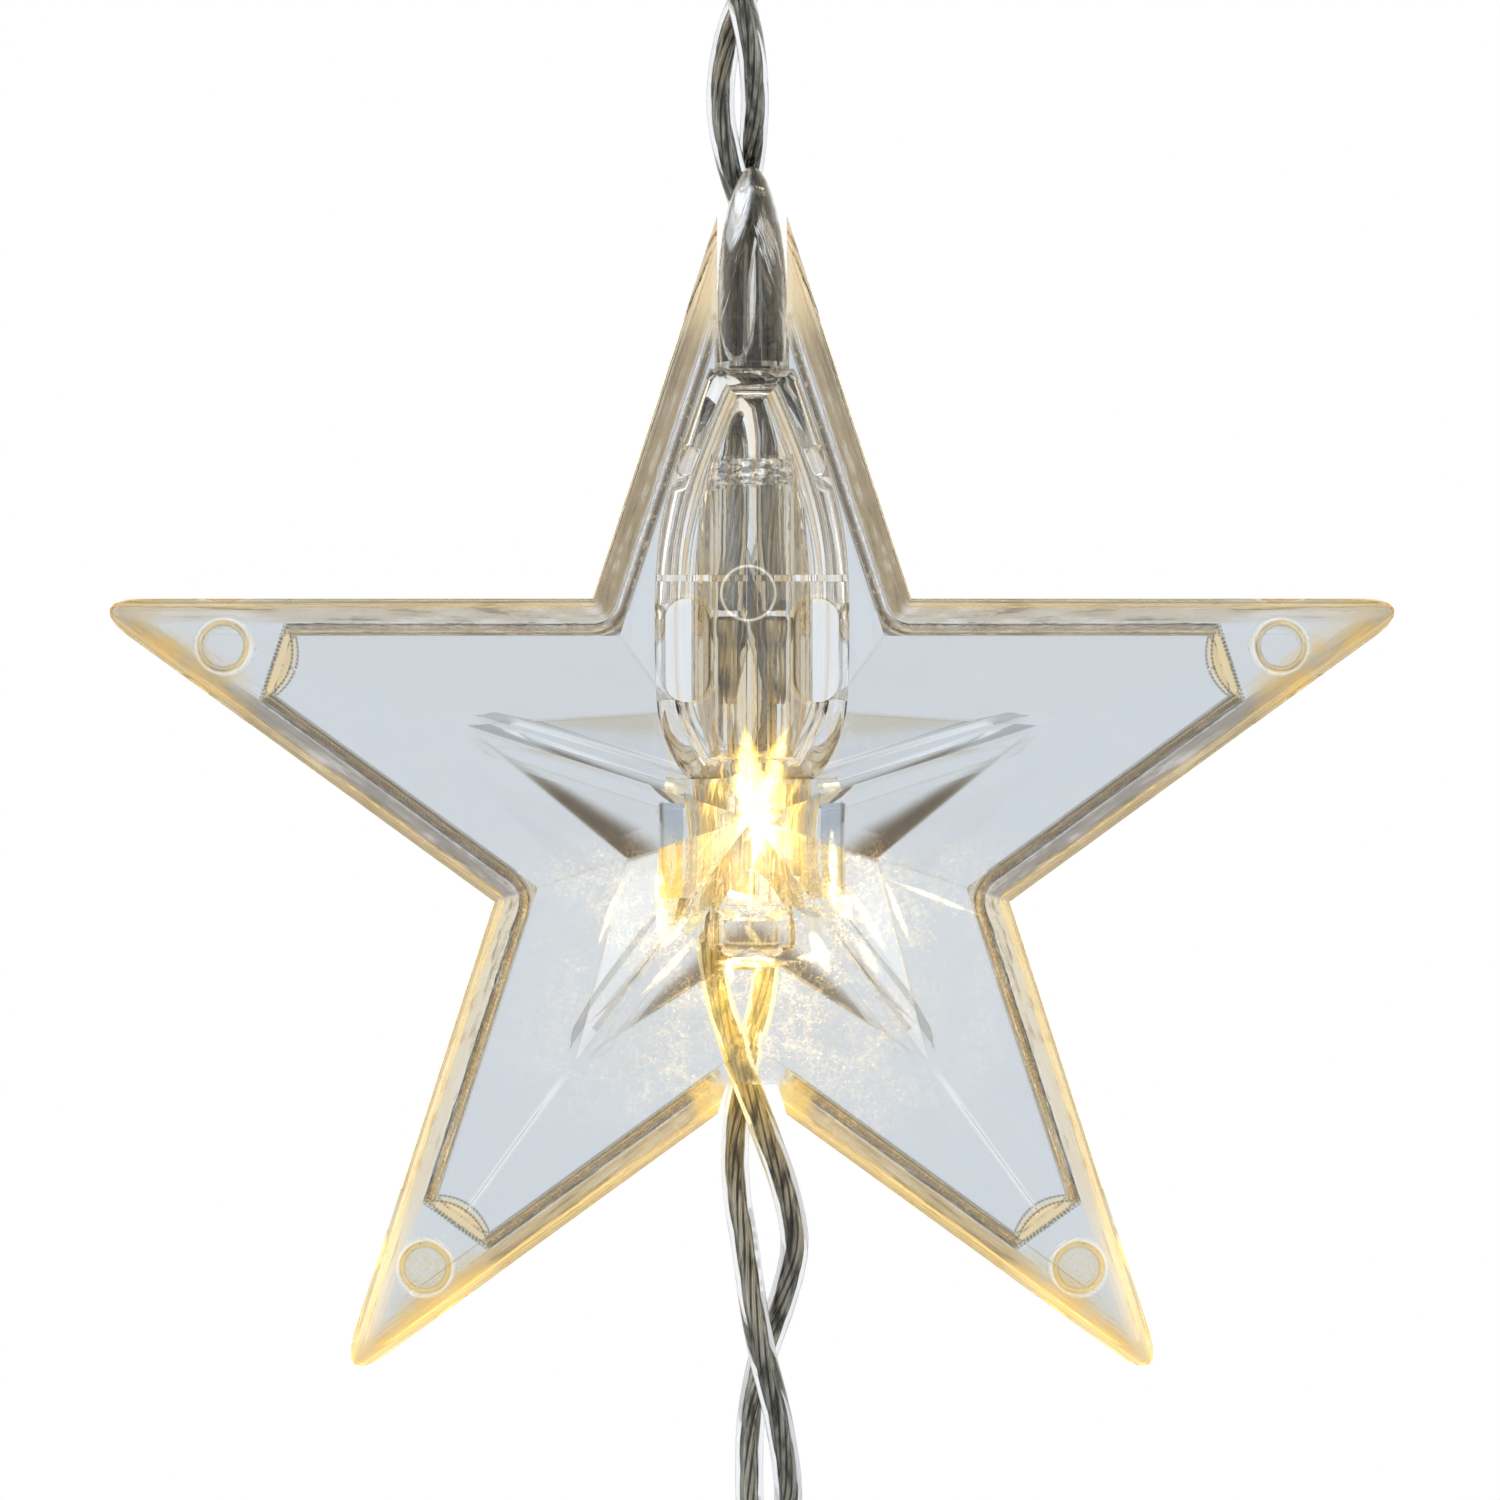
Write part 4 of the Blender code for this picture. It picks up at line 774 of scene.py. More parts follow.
through = smooth_route(THROUGH_ROUTE)
upper_part = [p for p in through if p.z >= THROUGH_PART]
routes = {
    "feed_wire": smooth_route(FEED_ROUTE),
    "through_wire_upper": upper_part,
    "through_wire_lower": [upper_part[-1]] + [p for p in through if p.z < THROUGH_PART],
    "return_wire": smooth_route(RETURN_ROUTE)}
for name, points in routes.items():
    print(name, round(length_of(points) / MM, 1), "mm")

# %% [markdown]
# ## Insulation and strands
# A wire is a curve with a round bevel, which keeps its width at every bend. Its seven strands are
# seven thinner curves, six of them wound round the same path: each point is set off from the path by
# a frame that is carried along it, so the lay neither jumps nor twists where the wire bends. The
# curves become meshes at the end.

# %% Curves along a route
LAY_LENGTH = 15 * MM


def curve_mesh(name, lines, radius, resolution):
    data = bpy.data.curves.new(name, "CURVE")
    data.dimensions = "3D"
    data.bevel_depth = radius
    data.bevel_resolution = resolution
    data.use_fill_caps = True
    for points in lines:
        spline = data.splines.new("POLY")
        spline.points.add(len(points) - 1)
        for point, spot in zip(spline.points, points):
            point.co = (*spot, 1.0)
    curve = add_object(name + "_curve", data)
    bpy.context.view_layer.update()
    mesh = bpy.data.meshes.new_from_object(curve.evaluated_get(bpy.context.evaluated_depsgraph_get()))
    bpy.data.objects.remove(curve)
    mesh.name = name
    mesh.shade_smooth()
    return add_object(name, mesh)


def strand_lines(points):
    """The middle strand and six round it, wound once in each lay length."""
    lines = [points]
    side = Vector((1, 0, 0))
    frames = []
    run = 0.0
    for index, spot in enumerate(points):
        before = points[max(index - 1, 0)]
        after = points[min(index + 1, len(points) - 1)]
        along = (after - before).normalized()
        side = (side - along * side.dot(along)).normalized()
        frames.append((spot, side, along.cross(side), run))
        run += (after - spot).length
    for strand in range(STRANDS - 1):
        wound = []
        for spot, across, up, run in frames:
            angle = 2 * math.pi * (strand / (STRANDS - 1) + run / LAY_LENGTH)
            wound.append(spot + STRAND_DIAMETER * (across * math.cos(angle) + up * math.sin(angle)))
        lines.append(wound)
    return lines


def every_second(points):
    kept = points[::2]
    return kept if kept[-1] == points[-1] else kept + [points[-1]]


print("strands lie", STRAND_DIAMETER / MM, "mm from the middle of their wire")

# %% [markdown]
# ## The four stretches of wire
# Each stretch is a clear cover with its strands inside, in the place of the imported wires that it
# replaces, which are hidden.


def wire(name, replaced):
    points = routes[name]
    path = every_second(points)
    cover = wear(curve_mesh(name, [path], WIRE_DIAMETER / 2, 6), clear_wire)
    core = wear(curve_mesh(name + "_strands", strand_lines(points), STRAND_DIAMETER / 2, 1), strand_metal)
    for piece in (cover, core):
        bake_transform(piece)
    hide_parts(*replaced)
    length_of(points)
    print(name, len(cover.data.vertices), "points", len(core.data.vertices), "in its strands")


# %% [markdown]
# ## Star forms from a ring of ten corners
# Every layer of a star half is the same ring of ten corners, five tips and five valleys, at another
# size and depth. So a form starts as one star face and is extruded ring by ring: straight for a
# wall, drawn in for a slope, and poked in the middle where the raised star comes to its point.

# %% Rings of a star
STAR_POINTS = 5
RIM_HALF_DEPTH = 4.0 * MM
SEAM = 0.15 * MM                # each half stays this far off the middle plane
RADIUS = STAR_RADIUS * MM
ROUND_TURNS = [math.pi / 2 * step / 6 for step in range(7)]
MERGE = 0.01 * MM               # corners closer than this become one


def corner(radius, index):
    angle = math.pi / 2 + index * math.pi / STAR_POINTS
    return radius * math.cos(angle), radius * math.sin(angle)


def reach_at(inset):
    """How far the tips reach once the outline has moved in by this much."""
    return RADIUS - inset / math.sin(TIP_ANGLE)


def round_corners(bm, corners, size):
    """Rounds corners of a flat face, and gives the face that is left."""
    bmesh.ops.bevel(bm, geom=corners, offset=size, offset_type="OFFSET", segments=6, profile=0.5,
                    affect="VERTICES", material=-1)
    return max(bm.faces, key=lambda f: f.calc_area())


def star_face(bm, reach, y):
    return bm.faces.new([bm.verts.new((x, y, z)) for x, z in
                         (corner(reach * (INNER_SHARE if i % 2 else 1), i) for i in range(2 * STAR_POINTS))])


def grow(bm, face, scale, y, first=False):
    """Extrudes a face to the depth y, drawn in by scale towards the star's centre."""
    if first:
        made = bmesh.ops.extrude_face_region(bm, geom=[face])["geom"]
        new = [g for g in made if isinstance(g, bmesh.types.BMFace)][0]
    else:
        new = bmesh.ops.extrude_discrete_faces(bm, faces=[face])["faces"][0]
    for vert in new.verts:
        vert.co = Vector((vert.co.x * scale, y, vert.co.z * scale))
    return new


def quarter_round(radius):
    """Steps of a rounded edge: how far in from the side, and how far below the top."""
    return [(radius * (1 - math.cos(turn)), radius * (1 - math.sin(turn))) for turn in ROUND_TURNS]


def cylinder(bm, centre, radius, depth, segments, to_front=False, radius_end=None):
    turn = Matrix.Rotation(math.pi / 2 if to_front else 0.0, 4, "X")
    bmesh.ops.create_cone(bm, cap_ends=True, segments=segments, radius1=radius, radius2=radius_end or radius,
                          depth=depth, matrix=Matrix.Translation(centre) @ turn)


def spun(profile, steps, closed=False):
    """A profile of (radius, height) points, spun about the upright axis."""
    bm = bmesh.new()
    points = [bm.verts.new((radius, 0, height)) for radius, height in profile]
    following = points[1:] + (points[:1] if closed else [])
    edges = [bm.edges.new(pair) for pair in zip(points, following)]
    bmesh.ops.spin(bm, geom=points + edges, cent=(0, 0, 0), axis=(0, 0, 1), angle=2 * math.pi, steps=steps,
                   use_merge=True)
    return bm


def cut_behind(bm, depth):
    """Takes away what lies behind a depth, and closes the cut."""
    bmesh.ops.bisect_plane(bm, geom=bm.verts[:] + bm.edges[:] + bm.faces[:], plane_co=(0, depth, 0),
                           plane_no=(0, 1, 0), clear_outer=True)
    bmesh.ops.holes_fill(bm, edges=[e for e in bm.edges if e.is_boundary], sides=0)


def solid(name, bm):
    """A closed form, its faces turned out, hung at the star's place."""
    bmesh.ops.remove_doubles(bm, verts=bm.verts[:], dist=0.001 * MM)
    bmesh.ops.recalc_face_normals(bm, faces=bm.faces[:])
    bmesh.ops.translate(bm, verts=bm.verts[:], vec=ORIGIN_TO_STAR)
    mesh = bpy.data.meshes.new(name)
    bm.to_mesh(mesh)
    bm.free()
    return add_object(name, mesh)


print("tips of the cavity's mouth reach", round(reach_at(1.6 * MM) / MM, 1), "mm")

# %% [markdown]
# ## Outer form and hollow of a half
# The rim is a deep plate with a soft front edge. A low roof rises from it to the raised star, whose
# middle is a point. The hollow follows the same roof one wall further in, with a slope on its sides
# for the mould, and stops where each tip is solid, in a shallow hollow curve.

# %% Rim, roof and hollow
TIP_CUT = 3.35 * MM              # how far along its edges each tip is rounded off
RIM_EDGE = 0.42 * MM
RIM_WALL = 1.40 * MM
WALL_SLOPE = 0.50 * MM
PANEL_WALL = 1.20 * MM
ROOF_SUNK = 0.02 * MM            # keeps the roof's flat border just under the rim's face
RELIEF_REACH = 16.3 * MM
RELIEF_VALLEY = 7.1 * MM
RELIEF_EDGE_RISE = 0.75 * MM
RELIEF_APEX_RISE = 3.3 * MM
VALLEY_ROUND = 1.4 * MM
CAVITY_REACH = 26.9 * MM
CAVITY_END_CURVE = 11.0 * MM    # radius of the curved end of the hollow
OVERRUN = 1.0 * MM


def rim(name, side):
    bm = bmesh.new()
    face = star_face(bm, RADIUS, side * SEAM)
    face = round_corners(bm, list(face.verts)[::2], TIP_CUT)
    face = grow(bm, face, 1.0, side * (RIM_HALF_DEPTH - RIM_EDGE), first=True)
    for step in (0.35, 0.7, 1.0):
        angle = step * math.pi / 2
        inset = RIM_EDGE * (1 - math.cos(angle))
        wanted = reach_at(inset) / RADIUS
        now = max(v.co.xz.length for v in face.verts) / max(v.co.xz.length for v in bm.verts)
        face = grow(bm, face, wanted / now, side * (RIM_HALF_DEPTH - RIM_EDGE * (1 - math.sin(angle))))
    return solid(name, bm)


def roof(side, inset, foot, lowered):
    """The roof as a solid: a star base, walls, the low slope and the raised star with its point."""
    bm = bmesh.new()
    reach = reach_at(inset)
    face = star_face(bm, reach, side * foot)
    edge = RIM_HALF_DEPTH - lowered
    slope = WALL_SLOPE if lowered > 0.1 * MM else 0
    face = grow(bm, face, reach_at(inset + slope) / reach, side * edge, first=True)
    face = grow(bm, face, 1.0, side * (edge + RELIEF_EDGE_RISE))
    for index, vert in enumerate(sorted(face.verts, key=lambda v: v.co.xz.length)):
        size = RELIEF_VALLEY if index < STAR_POINTS else RELIEF_REACH
        vert.co = Vector((*(vert.co.xz.normalized() * size), 0)).xzy + Vector((0, vert.co.y, 0))
    middle = bmesh.ops.poke(bm, faces=[face])["verts"][0]
    middle.co = (0, side * (edge + RELIEF_APEX_RISE), 0)
    for low in (v for v in bm.verts if abs(v.co.y - side * edge) < 0.001 * MM):
        for slope in [f for f in low.link_faces if len(f.verts) == 4]:
            across = [v for v in slope.verts if not any(low in e.verts for e in v.link_edges)]
            if across and low.co.xz.length < reach / 2 and across[0].co.y * side > edge * 1.001:
                bmesh.ops.connect_verts(bm, verts=[low, across[0]])
    bmesh.ops.triangulate(bm, faces=[f for f in bm.faces if len(f.verts) == 4])
    return bm


def hollow(name, side):
    bm = roof(side, RIM_WALL, -OVERRUN, PANEL_WALL)
    valleys = [e for e in bm.edges if abs(e.verts[0].co.y - e.verts[1].co.y) > 2 * MM
               and max(v.co.xz.length for v in e.verts) < RADIUS * 0.5]
    bmesh.ops.bevel(bm, geom=valleys, offset=VALLEY_ROUND, offset_type="OFFSET", segments=5, profile=0.5,
                    affect="EDGES", material=-1)
    return solid(name, bm)


def tip_block(name, index):
    """What stays solid in a tip: a drum whose round side is the end of the hollow."""
    bm = bmesh.new()
    x, z = corner(CAVITY_REACH + CAVITY_END_CURVE, 2 * index)
    cylinder(bm, (x, 0, z), CAVITY_END_CURVE, 4 * RIM_HALF_DEPTH, 72, to_front=True)
    return solid(name, bm)


print("the hollow ends", CAVITY_REACH / MM, "mm out")

# %% [markdown]
# ## Pocket, bulge, windows, saddle and hood
# A pocket shaped like a bottle on each half makes room for the lamp holder. Below it the front half
# bulges round the holder's end and the lamp. The front pocket has two round-ended windows and a
# saddle inside that the holder lies in. The hood on the top arm covers the wires where they enter.

# %% Bottle-shaped pocket
POCKET_TOP = 24.4 * MM
POCKET_END = 1.9 * MM
POCKET_WIDTH = 10.6 * MM
WIDTH_SHARES = (0.434, 0.566, 0.755, 0.906, 0.981, 1.0, 1.0, 0.943, 0.811, 0.679)
HEIGHT_SHARES = (1.0, 0.92, 0.796, 0.671, 0.56, 0.449, 0.2, 0.129, 0.058, 0.0)
POCKET_HALF_DEPTH = 6.75 * MM
POCKET_EDGE = 1.1 * MM
POCKET_WALL = 1.0 * MM


def bottle_outline(shrink):
    """The bottle's outline as (x, z) spots: ten points a side, more between them, then softened."""
    low = POCKET_END + shrink
    height = POCKET_TOP - shrink - low
    half = [(POCKET_WIDTH / 2 * wide - shrink, low + height * high)
            for wide, high in zip(WIDTH_SHARES, HEIGHT_SHARES)]
    bm = bmesh.new()
    face = bm.faces.new([bm.verts.new((x, 0, z)) for x, z in half + [(-x, z) for x, z in reversed(half)]])
    bmesh.ops.subdivide_edges(bm, edges=bm.edges[:], cuts=3)
    sides = [v for v in bm.verts if low + 0.1 * MM < v.co.z < low + height - 0.1 * MM]
    for turn in range(8):
        bmesh.ops.smooth_vert(bm, verts=sides, factor=0.5, use_axis_x=True, use_axis_z=True)
    spots = [(v.co.x, v.co.z) for v in bm.faces[:][0].verts]
    bm.free()
    return spots


def pocket(name, side, shrink=0.0):
    """Rings of the outline, bridged: straight walls, then six small steps round the top edge."""
    base = -OVERRUN if shrink else RIM_HALF_DEPTH - PANEL_WALL
    depth = POCKET_HALF_DEPTH - shrink
    levels = [(base, shrink)] + [(depth - below, shrink + inward) for inward, below in quarter_round(POCKET_EDGE)]
    bm = bmesh.new()
    rings = []
    for y, inset in levels:
        ring = [bm.verts.new((x, side * y, z)) for x, z in bottle_outline(inset)]
        rings.append([bm.edges.new(pair) for pair in zip(ring, ring[1:] + ring[:1])])
    for low, high in zip(rings, rings[1:]):
        bmesh.ops.bridge_loops(bm, edges=low + high)
    bmesh.ops.holes_fill(bm, edges=rings[0] + rings[-1], sides=0)
    return solid(name, bm)


print("the pocket is", round((POCKET_TOP - POCKET_END) / MM, 1), "mm tall")

# %% Round bulge over the holder's end and the lamp
HOLDER_RADIUS = 3.32 * MM
HOLDER_TOP = 19.7 * MM
HOLDER_END = -4.6 * MM
LAMP_RADIUS = 2.5 * MM
LAMP_END = -7.2 * MM
GAP = 0.3 * MM
BULGE_WALL = 0.8 * MM
BULGE_TOP = 5.0 * MM
BULGE_TAPER = 1.1 * MM


def bulge(name, wall):
    """A profile spun about the holder's axis; without a wall it is the room inside the bulge."""
    grown = GAP + wall
    top = BULGE_TOP if wall else HOLDER_TOP + GAP
    tube = HOLDER_RADIUS + grown
    room = LAMP_RADIUS + grown
    end = LAMP_END - grown
    shoulder = HOLDER_END - GAP
    profile = [(0, top), (tube, top), (tube, shoulder), (room, shoulder - wall - BULGE_TAPER / 2)]
    profile += [(room - inward, end + below) for inward, below in quarter_round(BULGE_TAPER)]
    bm = spun(profile + [(0, end)], 96)
    bmesh.ops.remove_doubles(bm, verts=bm.verts[:], dist=MERGE)
    bmesh.ops.translate(bm, verts=bm.verts[:], vec=(0, -HOLDER_FORWARD, 0))
    if wall:
        cut_behind(bm, -SEAM)
    return solid(name, bm)


print("the bulge ends", round((LAMP_END - GAP - BULGE_WALL) / MM, 1), "mm from the star's centre")

# %% Plates, drums and the hood
HOOD_NOSE = 9 * MM


def plate(name, outline, y_from, y_to, corner_size=0.0):
    """A plate with a flat outline of (x, z) points, between two depths."""
    bm = bmesh.new()
    face = bm.faces.new([bm.verts.new((x, y_from, z)) for x, z in outline])
    if corner_size:
        face = round_corners(bm, list(face.verts), corner_size)
    top = bmesh.ops.extrude_face_region(bm, geom=[face])["geom"]
    bmesh.ops.translate(bm, verts=[g for g in top if isinstance(g, bmesh.types.BMVert)], vec=(0, y_to - y_from, 0))
    return solid(name, bm)


def box_outline(x_low, x_high, z_low, z_high):
    return [(x_low, z_low), (x_high, z_low), (x_high, z_high), (x_low, z_high)]


def in_metres(outline):
    return [(x * MM, z * MM) for x, z in outline]


def drum(name, x, z, radius, y_from, y_to, radius_end):
    """A short drum that points to the front, as the pegs and their holes do."""
    bm = bmesh.new()
    cylinder(bm, (x, (y_from + y_to) / 2, z), radius, abs(y_to - y_from), 48, True, radius_end)
    return solid(name, bm)


def hood(name, half_width, depth, low, high, back):
    """An upright half-round bar with a rounded nose: a bar is spun, flattened and drawn to its nose."""
    bm = bmesh.new()
    foot = high - HOOD_NOSE
    cylinder(bm, (0, 0, (foot + low) / 2), 1.0, high - low - HOOD_NOSE, 48)
    face = max(bm.faces, key=lambda f: f.calc_center_median().z)
    before = 1.0
    for step in range(1, 10):
        angle = math.pi / 2 * step / 9.6
        face = bmesh.ops.extrude_discrete_faces(bm, faces=[face])["faces"][0]
        for vert in face.verts:
            vert.co.x *= math.cos(angle) / before
            vert.co.y *= math.cos(angle) / before
            vert.co.z = foot + HOOD_NOSE * math.sin(angle)
        before = math.cos(angle)
    bmesh.ops.scale(bm, verts=bm.verts[:], vec=(half_width, depth, 1.0))
    cut_behind(bm, back)
    return solid(name, bm)


print("the hood's nose is", HOOD_NOSE / MM, "mm long")

# %% [markdown]
# ## Joining and cutting
# Each form joins or cuts the half with the Boolean modifier's exact solver, in the order a mould
# maker thinks: outer form first, then the hollow, then openings, then what stands inside.

# %% Boolean steps
CUT, JOIN = "DIFFERENCE", "UNION"
CHANNEL_HALF = 1.9 * MM         # half the width of the opening for the wires in the top arm
RIB_NEAR, RIB_FAR = 3.62 * MM, 4.92 * MM        # the ledges on both sides of the holder's end
RIB_LOW, RIB_HIGH = -4.4 * MM, 1.0 * MM
RIB_RISE = 0.75 * MM
NOTCH = ((-1.35, -14.5), (-1.55, -15.0), (-2.6, -18.5), (2.6, -18.5), (1.55, -15.0), (1.35, -14.5))
NOTCH_DEPTH = 9 * MM
FUNNEL = ((-2.3, -11.5), (-1.55, -14.77), (1.55, -14.77), (2.3, -11.5))
SMALL_FACE = 0.8 * MM
SHARP = math.radians(32)


def combine(piece, *steps):
    for operation, other in steps:
        step = piece.modifiers.new(other.name, "BOOLEAN")
        step.operation = operation
        step.object = other
        bpy.context.view_layer.update()
        mesh = bpy.data.meshes.new_from_object(piece.evaluated_get(bpy.context.evaluated_depsgraph_get()))
        piece.modifiers.clear()
        piece.data = mesh
        bpy.data.objects.remove(other)
    return piece


def half_of_star(name, side, channel_end):
    """What both halves have; side is -1 for the front and 1 for the back."""
    shell = rim(name, side)
    combine(shell, (JOIN, solid(name + "_roof", roof(side, RIM_WALL + WALL_SLOPE, RIM_HALF_DEPTH / 2, ROOF_SUNK))),
            (JOIN, pocket(name + "_pocket", side)))
    if side < 0:
        combine(shell, (JOIN, bulge(name + "_bulge", BULGE_WALL)))
    space = combine(hollow(name + "_hollow", side),
                    *[(CUT, tip_block(name + "_tip" + str(i), i)) for i in range(STAR_POINTS)])
    combine(shell, (CUT, space), (CUT, pocket(name + "_room", side, POCKET_WALL)))
    if side < 0:
        combine(shell, (CUT, bulge(name + "_lamp_room", 0.0)))
    channel = box_outline(-CHANNEL_HALF, CHANNEL_HALF, channel_end, RADIUS + OVERRUN)
    combine(shell, (CUT, plate(name + "_channel", channel, -side * OVERRUN, side * (POCKET_HALF_DEPTH + OVERRUN))))
    for near, far in ((-RIB_FAR, -RIB_NEAR), (RIB_NEAR, RIB_FAR)):
        combine(shell, (JOIN, plate(name + "_rib", box_outline(near, far, RIB_LOW, RIB_HIGH), side * SEAM,
                                    side * (RIM_HALF_DEPTH + RIB_RISE))))
    return combine(shell, (CUT, plate(name + "_notch", in_metres(NOTCH), -side * OVERRUN, side * NOTCH_DEPTH)),
                   (CUT, plate(name + "_funnel", in_metres(FUNNEL), -side * OVERRUN,
                               side * (RIM_HALF_DEPTH - PANEL_WALL))))


def finish_shell(shell, node):
    """Smooth on its small faces, with sharp edges between the large ones."""
    bm = bmesh.new()
    bm.from_mesh(shell.data)
    bmesh.ops.remove_doubles(bm, verts=bm.verts[:], dist=MERGE)
    bmesh.ops.dissolve_degenerate(bm, dist=MERGE, edges=bm.edges[:])
    for face in bm.faces:
        face.smooth = face.calc_area() < SMALL_FACE * max(e.calc_length() for e in face.edges)
    for edge in bm.edges:
        edge.smooth = edge.calc_face_angle(0.0) < SHARP
    bm.to_mesh(shell.data)
    bm.free()
    wear(shell, clear_star)
    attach(shell, "star")
    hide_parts(node)
    print(shell.name, len(shell.data.polygons), "faces")


print("the channel for the wires is", 2 * CHANNEL_HALF / MM, "mm wide")

# %% Front half
PEG_RADIUS = 1.47 * MM
PEG_LENGTH = 2.4 * MM
PEG_SPOTS = [corner(30.3 * MM, 2 * arm) for arm in range(1, STAR_POINTS)]
WINDOW_MIDDLE, WINDOW_HALF = 3.55 * MM, 1.15 * MM
WINDOW_LOW, WINDOW_HIGH = 6.3 * MM, 11.9 * MM
SADDLE_HALF, SADDLE_SEAT = 4.8 * MM, 3.62 * MM
SADDLE_LOW, SADDLE_HIGH = 12.85 * MM, 13.2 * MM
THROAT = ((-1.25, 22.8), (1.25, 22.8), (1.25, 24.9), (-1.25, 24.9))

front = half_of_star("star_front", -1, 24.6 * MM)
for middle in (-WINDOW_MIDDLE, WINDOW_MIDDLE):
    opening = box_outline(middle - WINDOW_HALF, middle + WINDOW_HALF, WINDOW_LOW, WINDOW_HIGH)
    combine(front, (CUT, plate("window", opening, -POCKET_HALF_DEPTH - OVERRUN, -RIM_HALF_DEPTH + PANEL_WALL,
                               1.1 * MM)))
saddle = plate("saddle", box_outline(-SADDLE_HALF, SADDLE_HALF, SADDLE_LOW, SADDLE_HIGH),
               -POCKET_HALF_DEPTH + 0.5 * MM, -HOLDER_FORWARD)
seat = bmesh.new()
cylinder(seat, (0, -HOLDER_FORWARD, 13 * MM), SADDLE_SEAT, 4 * MM, 64)
combine(saddle, (CUT, solid("saddle_seat", seat)))
cover = hood("hood", 2.0 * MM, 4.4 * MM, 24.0 * MM, 35.7 * MM, -SEAM)
combine(cover, (CUT, hood("hood_hollow", 1.3 * MM, 1.9 * MM, 23.0 * MM, 34.1 * MM, OVERRUN)))
combine(front, (JOIN, saddle), (JOIN, cover), (CUT, plate("throat", in_metres(THROAT), -3.4 * MM, OVERRUN)))
for x, z in PEG_SPOTS:
    combine(front, (CUT, drum("peg_hole", x, z, PEG_RADIUS + 0.30 * MM, OVERRUN, -PEG_LENGTH - 0.6 * MM,
                              PEG_RADIUS + 0.22 * MM)))
finish_shell(front, "front_shell")

# %% Back half
back = half_of_star("star_back", 1, 19.9 * MM)
for x, z in PEG_SPOTS:
    combine(back, (JOIN, drum("peg", x, z, PEG_RADIUS - 0.05 * MM, 0.5 * MM, -PEG_LENGTH, PEG_RADIUS)))
finish_shell(back, "back_shell")

# %% [markdown]
# ## Crimp sleeves
# Each wire ends in a sleeve that is pressed onto the lamp's lead. The sleeves are profiles spun about
# the lead: as wide as the wire at the top, waisted where they are pressed, and narrow at the lead.

# %% Crimp sleeves
SLEEVE = ((0.45, 11.00), (0.78, 10.95), (0.85, 10.70), (0.83, 10.00), (0.64, 9.40), (0.60, 8.90), (0.66, 8.40),
          (0.70, 7.90), (0.60, 7.20), (0.46, 6.60), (0.40, 6.22), (0.20, 6.20))
LEAD_APART = 1.27 * MM


def spun_piece(name, node, bm, place, finish):
    """A spun form becomes a smooth piece in the place of a packed one."""
    bmesh.ops.translate(bm, verts=bm.verts[:], vec=place)
    piece = wear(solid(name, bm), finish)
    piece.data.shade_smooth()
    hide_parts(node)
    print(name, len(piece.data.polygons), "faces")
    return piece


for node, across in (("crimp_left", -LEAD_APART), ("crimp_right", LEAD_APART)):
    sleeve = spun_piece(node + "_sleeve", node, spun(in_metres(SLEEVE), 40, closed=True),
                        (across, -HOLDER_FORWARD, 0), crimp)
    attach(sleeve, "star")

# %% [markdown]
# ## Ribbed reliefs
# A soft tapered sleeve with four round grooves guards the cord at each coupler. One profile is spun
# for both. The upper sleeve stays where it is built, the lower rides on the tail.

# %% Reliefs
SLEEVE_WIDE = 3.2 * MM
SLEEVE_NARROW = 2.3 * MM
END_ROUND = 0.25 * MM
GROOVES = 4
GROOVE_DEPTH = 0.45 * MM
PROFILE_STEPS = 90


def ribbed(node, wide_up):
    """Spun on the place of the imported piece, with its wide end up or down."""
    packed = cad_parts[node]
    spots = [packed.matrix_world @ Vector(c) for c in packed.bound_box]
    low, high = min(c.z for c in spots), max(c.z for c in spots)
    middle = sum(spots, Vector()) / len(spots)
    wide_end, narrow_end = (high, low) if wide_up else (low, high)
    profile = [(0.0, 0.0), (SLEEVE_WIDE - END_ROUND, 0.0)]
    for step in range(PROFILE_STEPS + 1):
        share = step / PROFILE_STEPS
        radius = SLEEVE_WIDE + (SLEEVE_NARROW - SLEEVE_WIDE) * share
        if 0.5 < share * (GROOVES + 1) < GROOVES + 0.5:
            radius -= GROOVE_DEPTH * max(0.0, math.cos(2 * math.pi * (GROOVES + 1) * share)) ** 0.6
        profile.append((radius - (END_ROUND if step == PROFILE_STEPS else 0.0), max(share, 0.02)))
    profile.append((0.0, 1.0))
    bm = spun([(radius, wide_end + (narrow_end - wide_end) * share) for radius, share in profile], 64)
    place = Vector((middle.x, middle.y, 0)) - ORIGIN_TO_STAR
    return spun_piece(node + "_ribbed", node, bm, place, soft_relief), low, high


upper, low, high = ribbed("plug_relief", True)
low + 2 * MM
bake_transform(upper)
lower = ribbed("socket_relief", False)[0]
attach(lower, "tail")

# %% [markdown]
# ## The wires in their places
# The two lower stretches end in the socket.

# %% Four stretches
wire("feed_wire", ["upper_feed_wire", "star_feed_wire"])
wire("through_wire_upper", ["upper_through_wire"])
wire("through_wire_lower",
     ["star_through_wire", "tail_through_wire"])
wire("return_wire",
     ["star_return_wire", "tail_return_wire"])

# %% [markdown]
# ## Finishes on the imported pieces
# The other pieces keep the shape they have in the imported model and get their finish.

# %% Carried-over pieces
finishes = {
    "lamp_holder": clear_holder, "mouth_seal": potting, "led_lens": lamp_lens, "led_chip": lamp_chip,
    "cathode_lead": tinned_lead, "anode_lead": tinned_lead,
    "plug_body": coupler_body, "plug_seal": seal_ring, "coupling_nut": coupler_nut,
    "pin_left": contact_brass, "pin_right": contact_brass,
    "socket_body": coupler_body, "contact_left": contact_brass, "contact_right": contact_brass,
    "end_cap": cap_plastic}
for node, finish in finishes.items():
    wear(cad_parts[node], finish)
print("dressed", len(finishes), "packed pieces")

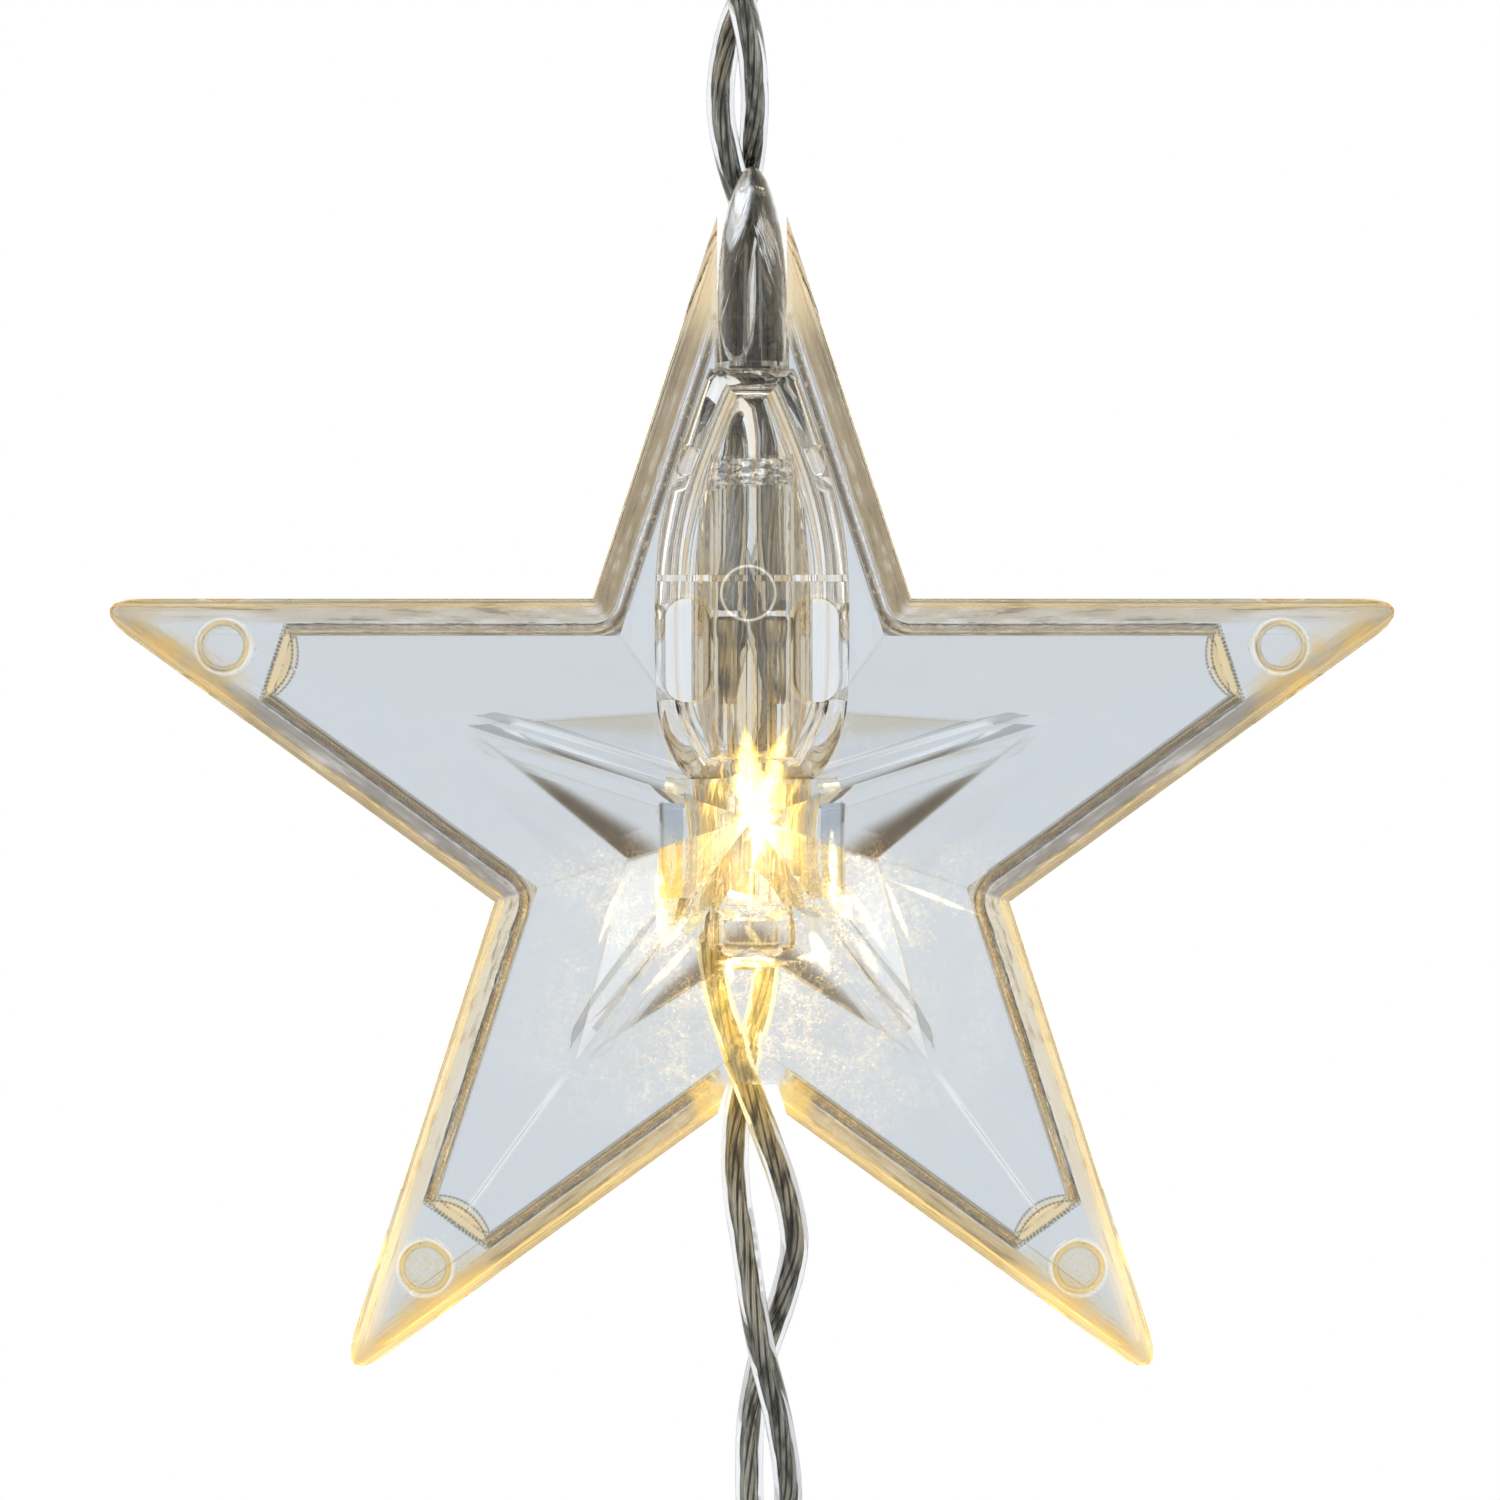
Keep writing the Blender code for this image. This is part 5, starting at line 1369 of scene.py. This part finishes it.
# %% [markdown]
# ## Studio
# The background of the photograph is pure white, and the camera sees the world as white. Whatever the
# clear plastic mirrors or bends sees white near the horizon too, a golden zone above and below it, and
# nearly black straight up and down. Those darker zones draw the lines along the edges of clear plastic.

# %% World
GOLDEN, NEARLY_BLACK, PALE_GREY = (0.86, 0.73, 0.52), (0.14, 0.11, 0.085), (0.66, 0.67, 0.68)
WHITE = (1.0, 1.0, 1.0)
world = bpy.data.worlds.new("studio")
bpy.context.scene.world = world
world.use_nodes = True


class Sky(Finish):
    def __init__(self):
        self.tree = world.node_tree


sky = Sky()
steepness = abs(sky.parts(sky.node("TexCoord"))[2])
by_camera, by_matt = sky.node("LightPath", output=0), sky.node("LightPath", output=2)
light = sky.paint(WHITE, (steepness.step(0.22, 0.38), GOLDEN), (steepness.step(0.55, 0.70), NEARLY_BLACK),
                  (by_camera, WHITE), (by_matt, PALE_GREY))
background = world.node_tree.nodes["Background"]
world.node_tree.links.new(light.socket, background.inputs["Color"])
background.inputs["Strength"].default_value = 1.0
print("world is white near the horizon")


# %% Lamps of the studio
def soft_lamp(name, place, size, power):
    data = bpy.data.lights.new(name, "AREA")
    data.shape = "RECTANGLE"
    data.size, data.size_y = size
    data.energy = power
    lamp = add_object(name, data)
    lamp.location = place
    aim = Vector((0, 0, -0.07)) - Vector(place)
    lamp.rotation_euler = aim.to_track_quat("-Z", "Y").to_euler()


soft_lamp("left_softbox", (-0.45, -0.45, 0.10), (0.25, 0.45), 0.8)
soft_lamp("right_softbox", (0.50, -0.35, 0.05), (0.20, 0.45), 0.6)
soft_lamp("top_softbox", (0.0, -0.10, 0.55), (0.35, 0.35), 0.7)
print("three soft lamps stand round the star")

# %% Floor
FLOOR_HEIGHT = -0.160
floor_mesh = bmesh.new()
bmesh.ops.create_circle(floor_mesh, cap_ends=True, segments=96, radius=0.6,
                        matrix=Matrix.Translation((0, 0, FLOOR_HEIGHT)))
floor = add_object("floor", bpy.data.meshes.new("floor"))
floor_mesh.to_mesh(floor.data)
floor_mesh.free()
pale = Finish("pale_floor", Roughness=0.8)
pale.link(Base_Color=pale.mix(pale.noise(pale.place(), 0.02), (0.86, 0.86, 0.86), (0.84, 0.84, 0.84)))
wear(floor, pale.material)
print("floor at", FLOOR_HEIGHT, "m")

# %% [markdown]
# ## Picture settings
# Light crosses up to thirty surfaces on its way through the star, so it may bend that often.

# %% Settings and hand-over
bpy.context.scene.view_settings.view_transform = "Standard"
bpy.context.scene.cycles.max_bounces = 40
bpy.context.scene.cycles.transmission_bounces = 40
bpy.context.scene.cycles.glossy_bounces = 12
bpy.context.scene.cycles.caustics_reflective = False
bpy.context.scene.cycles.caustics_refractive = False
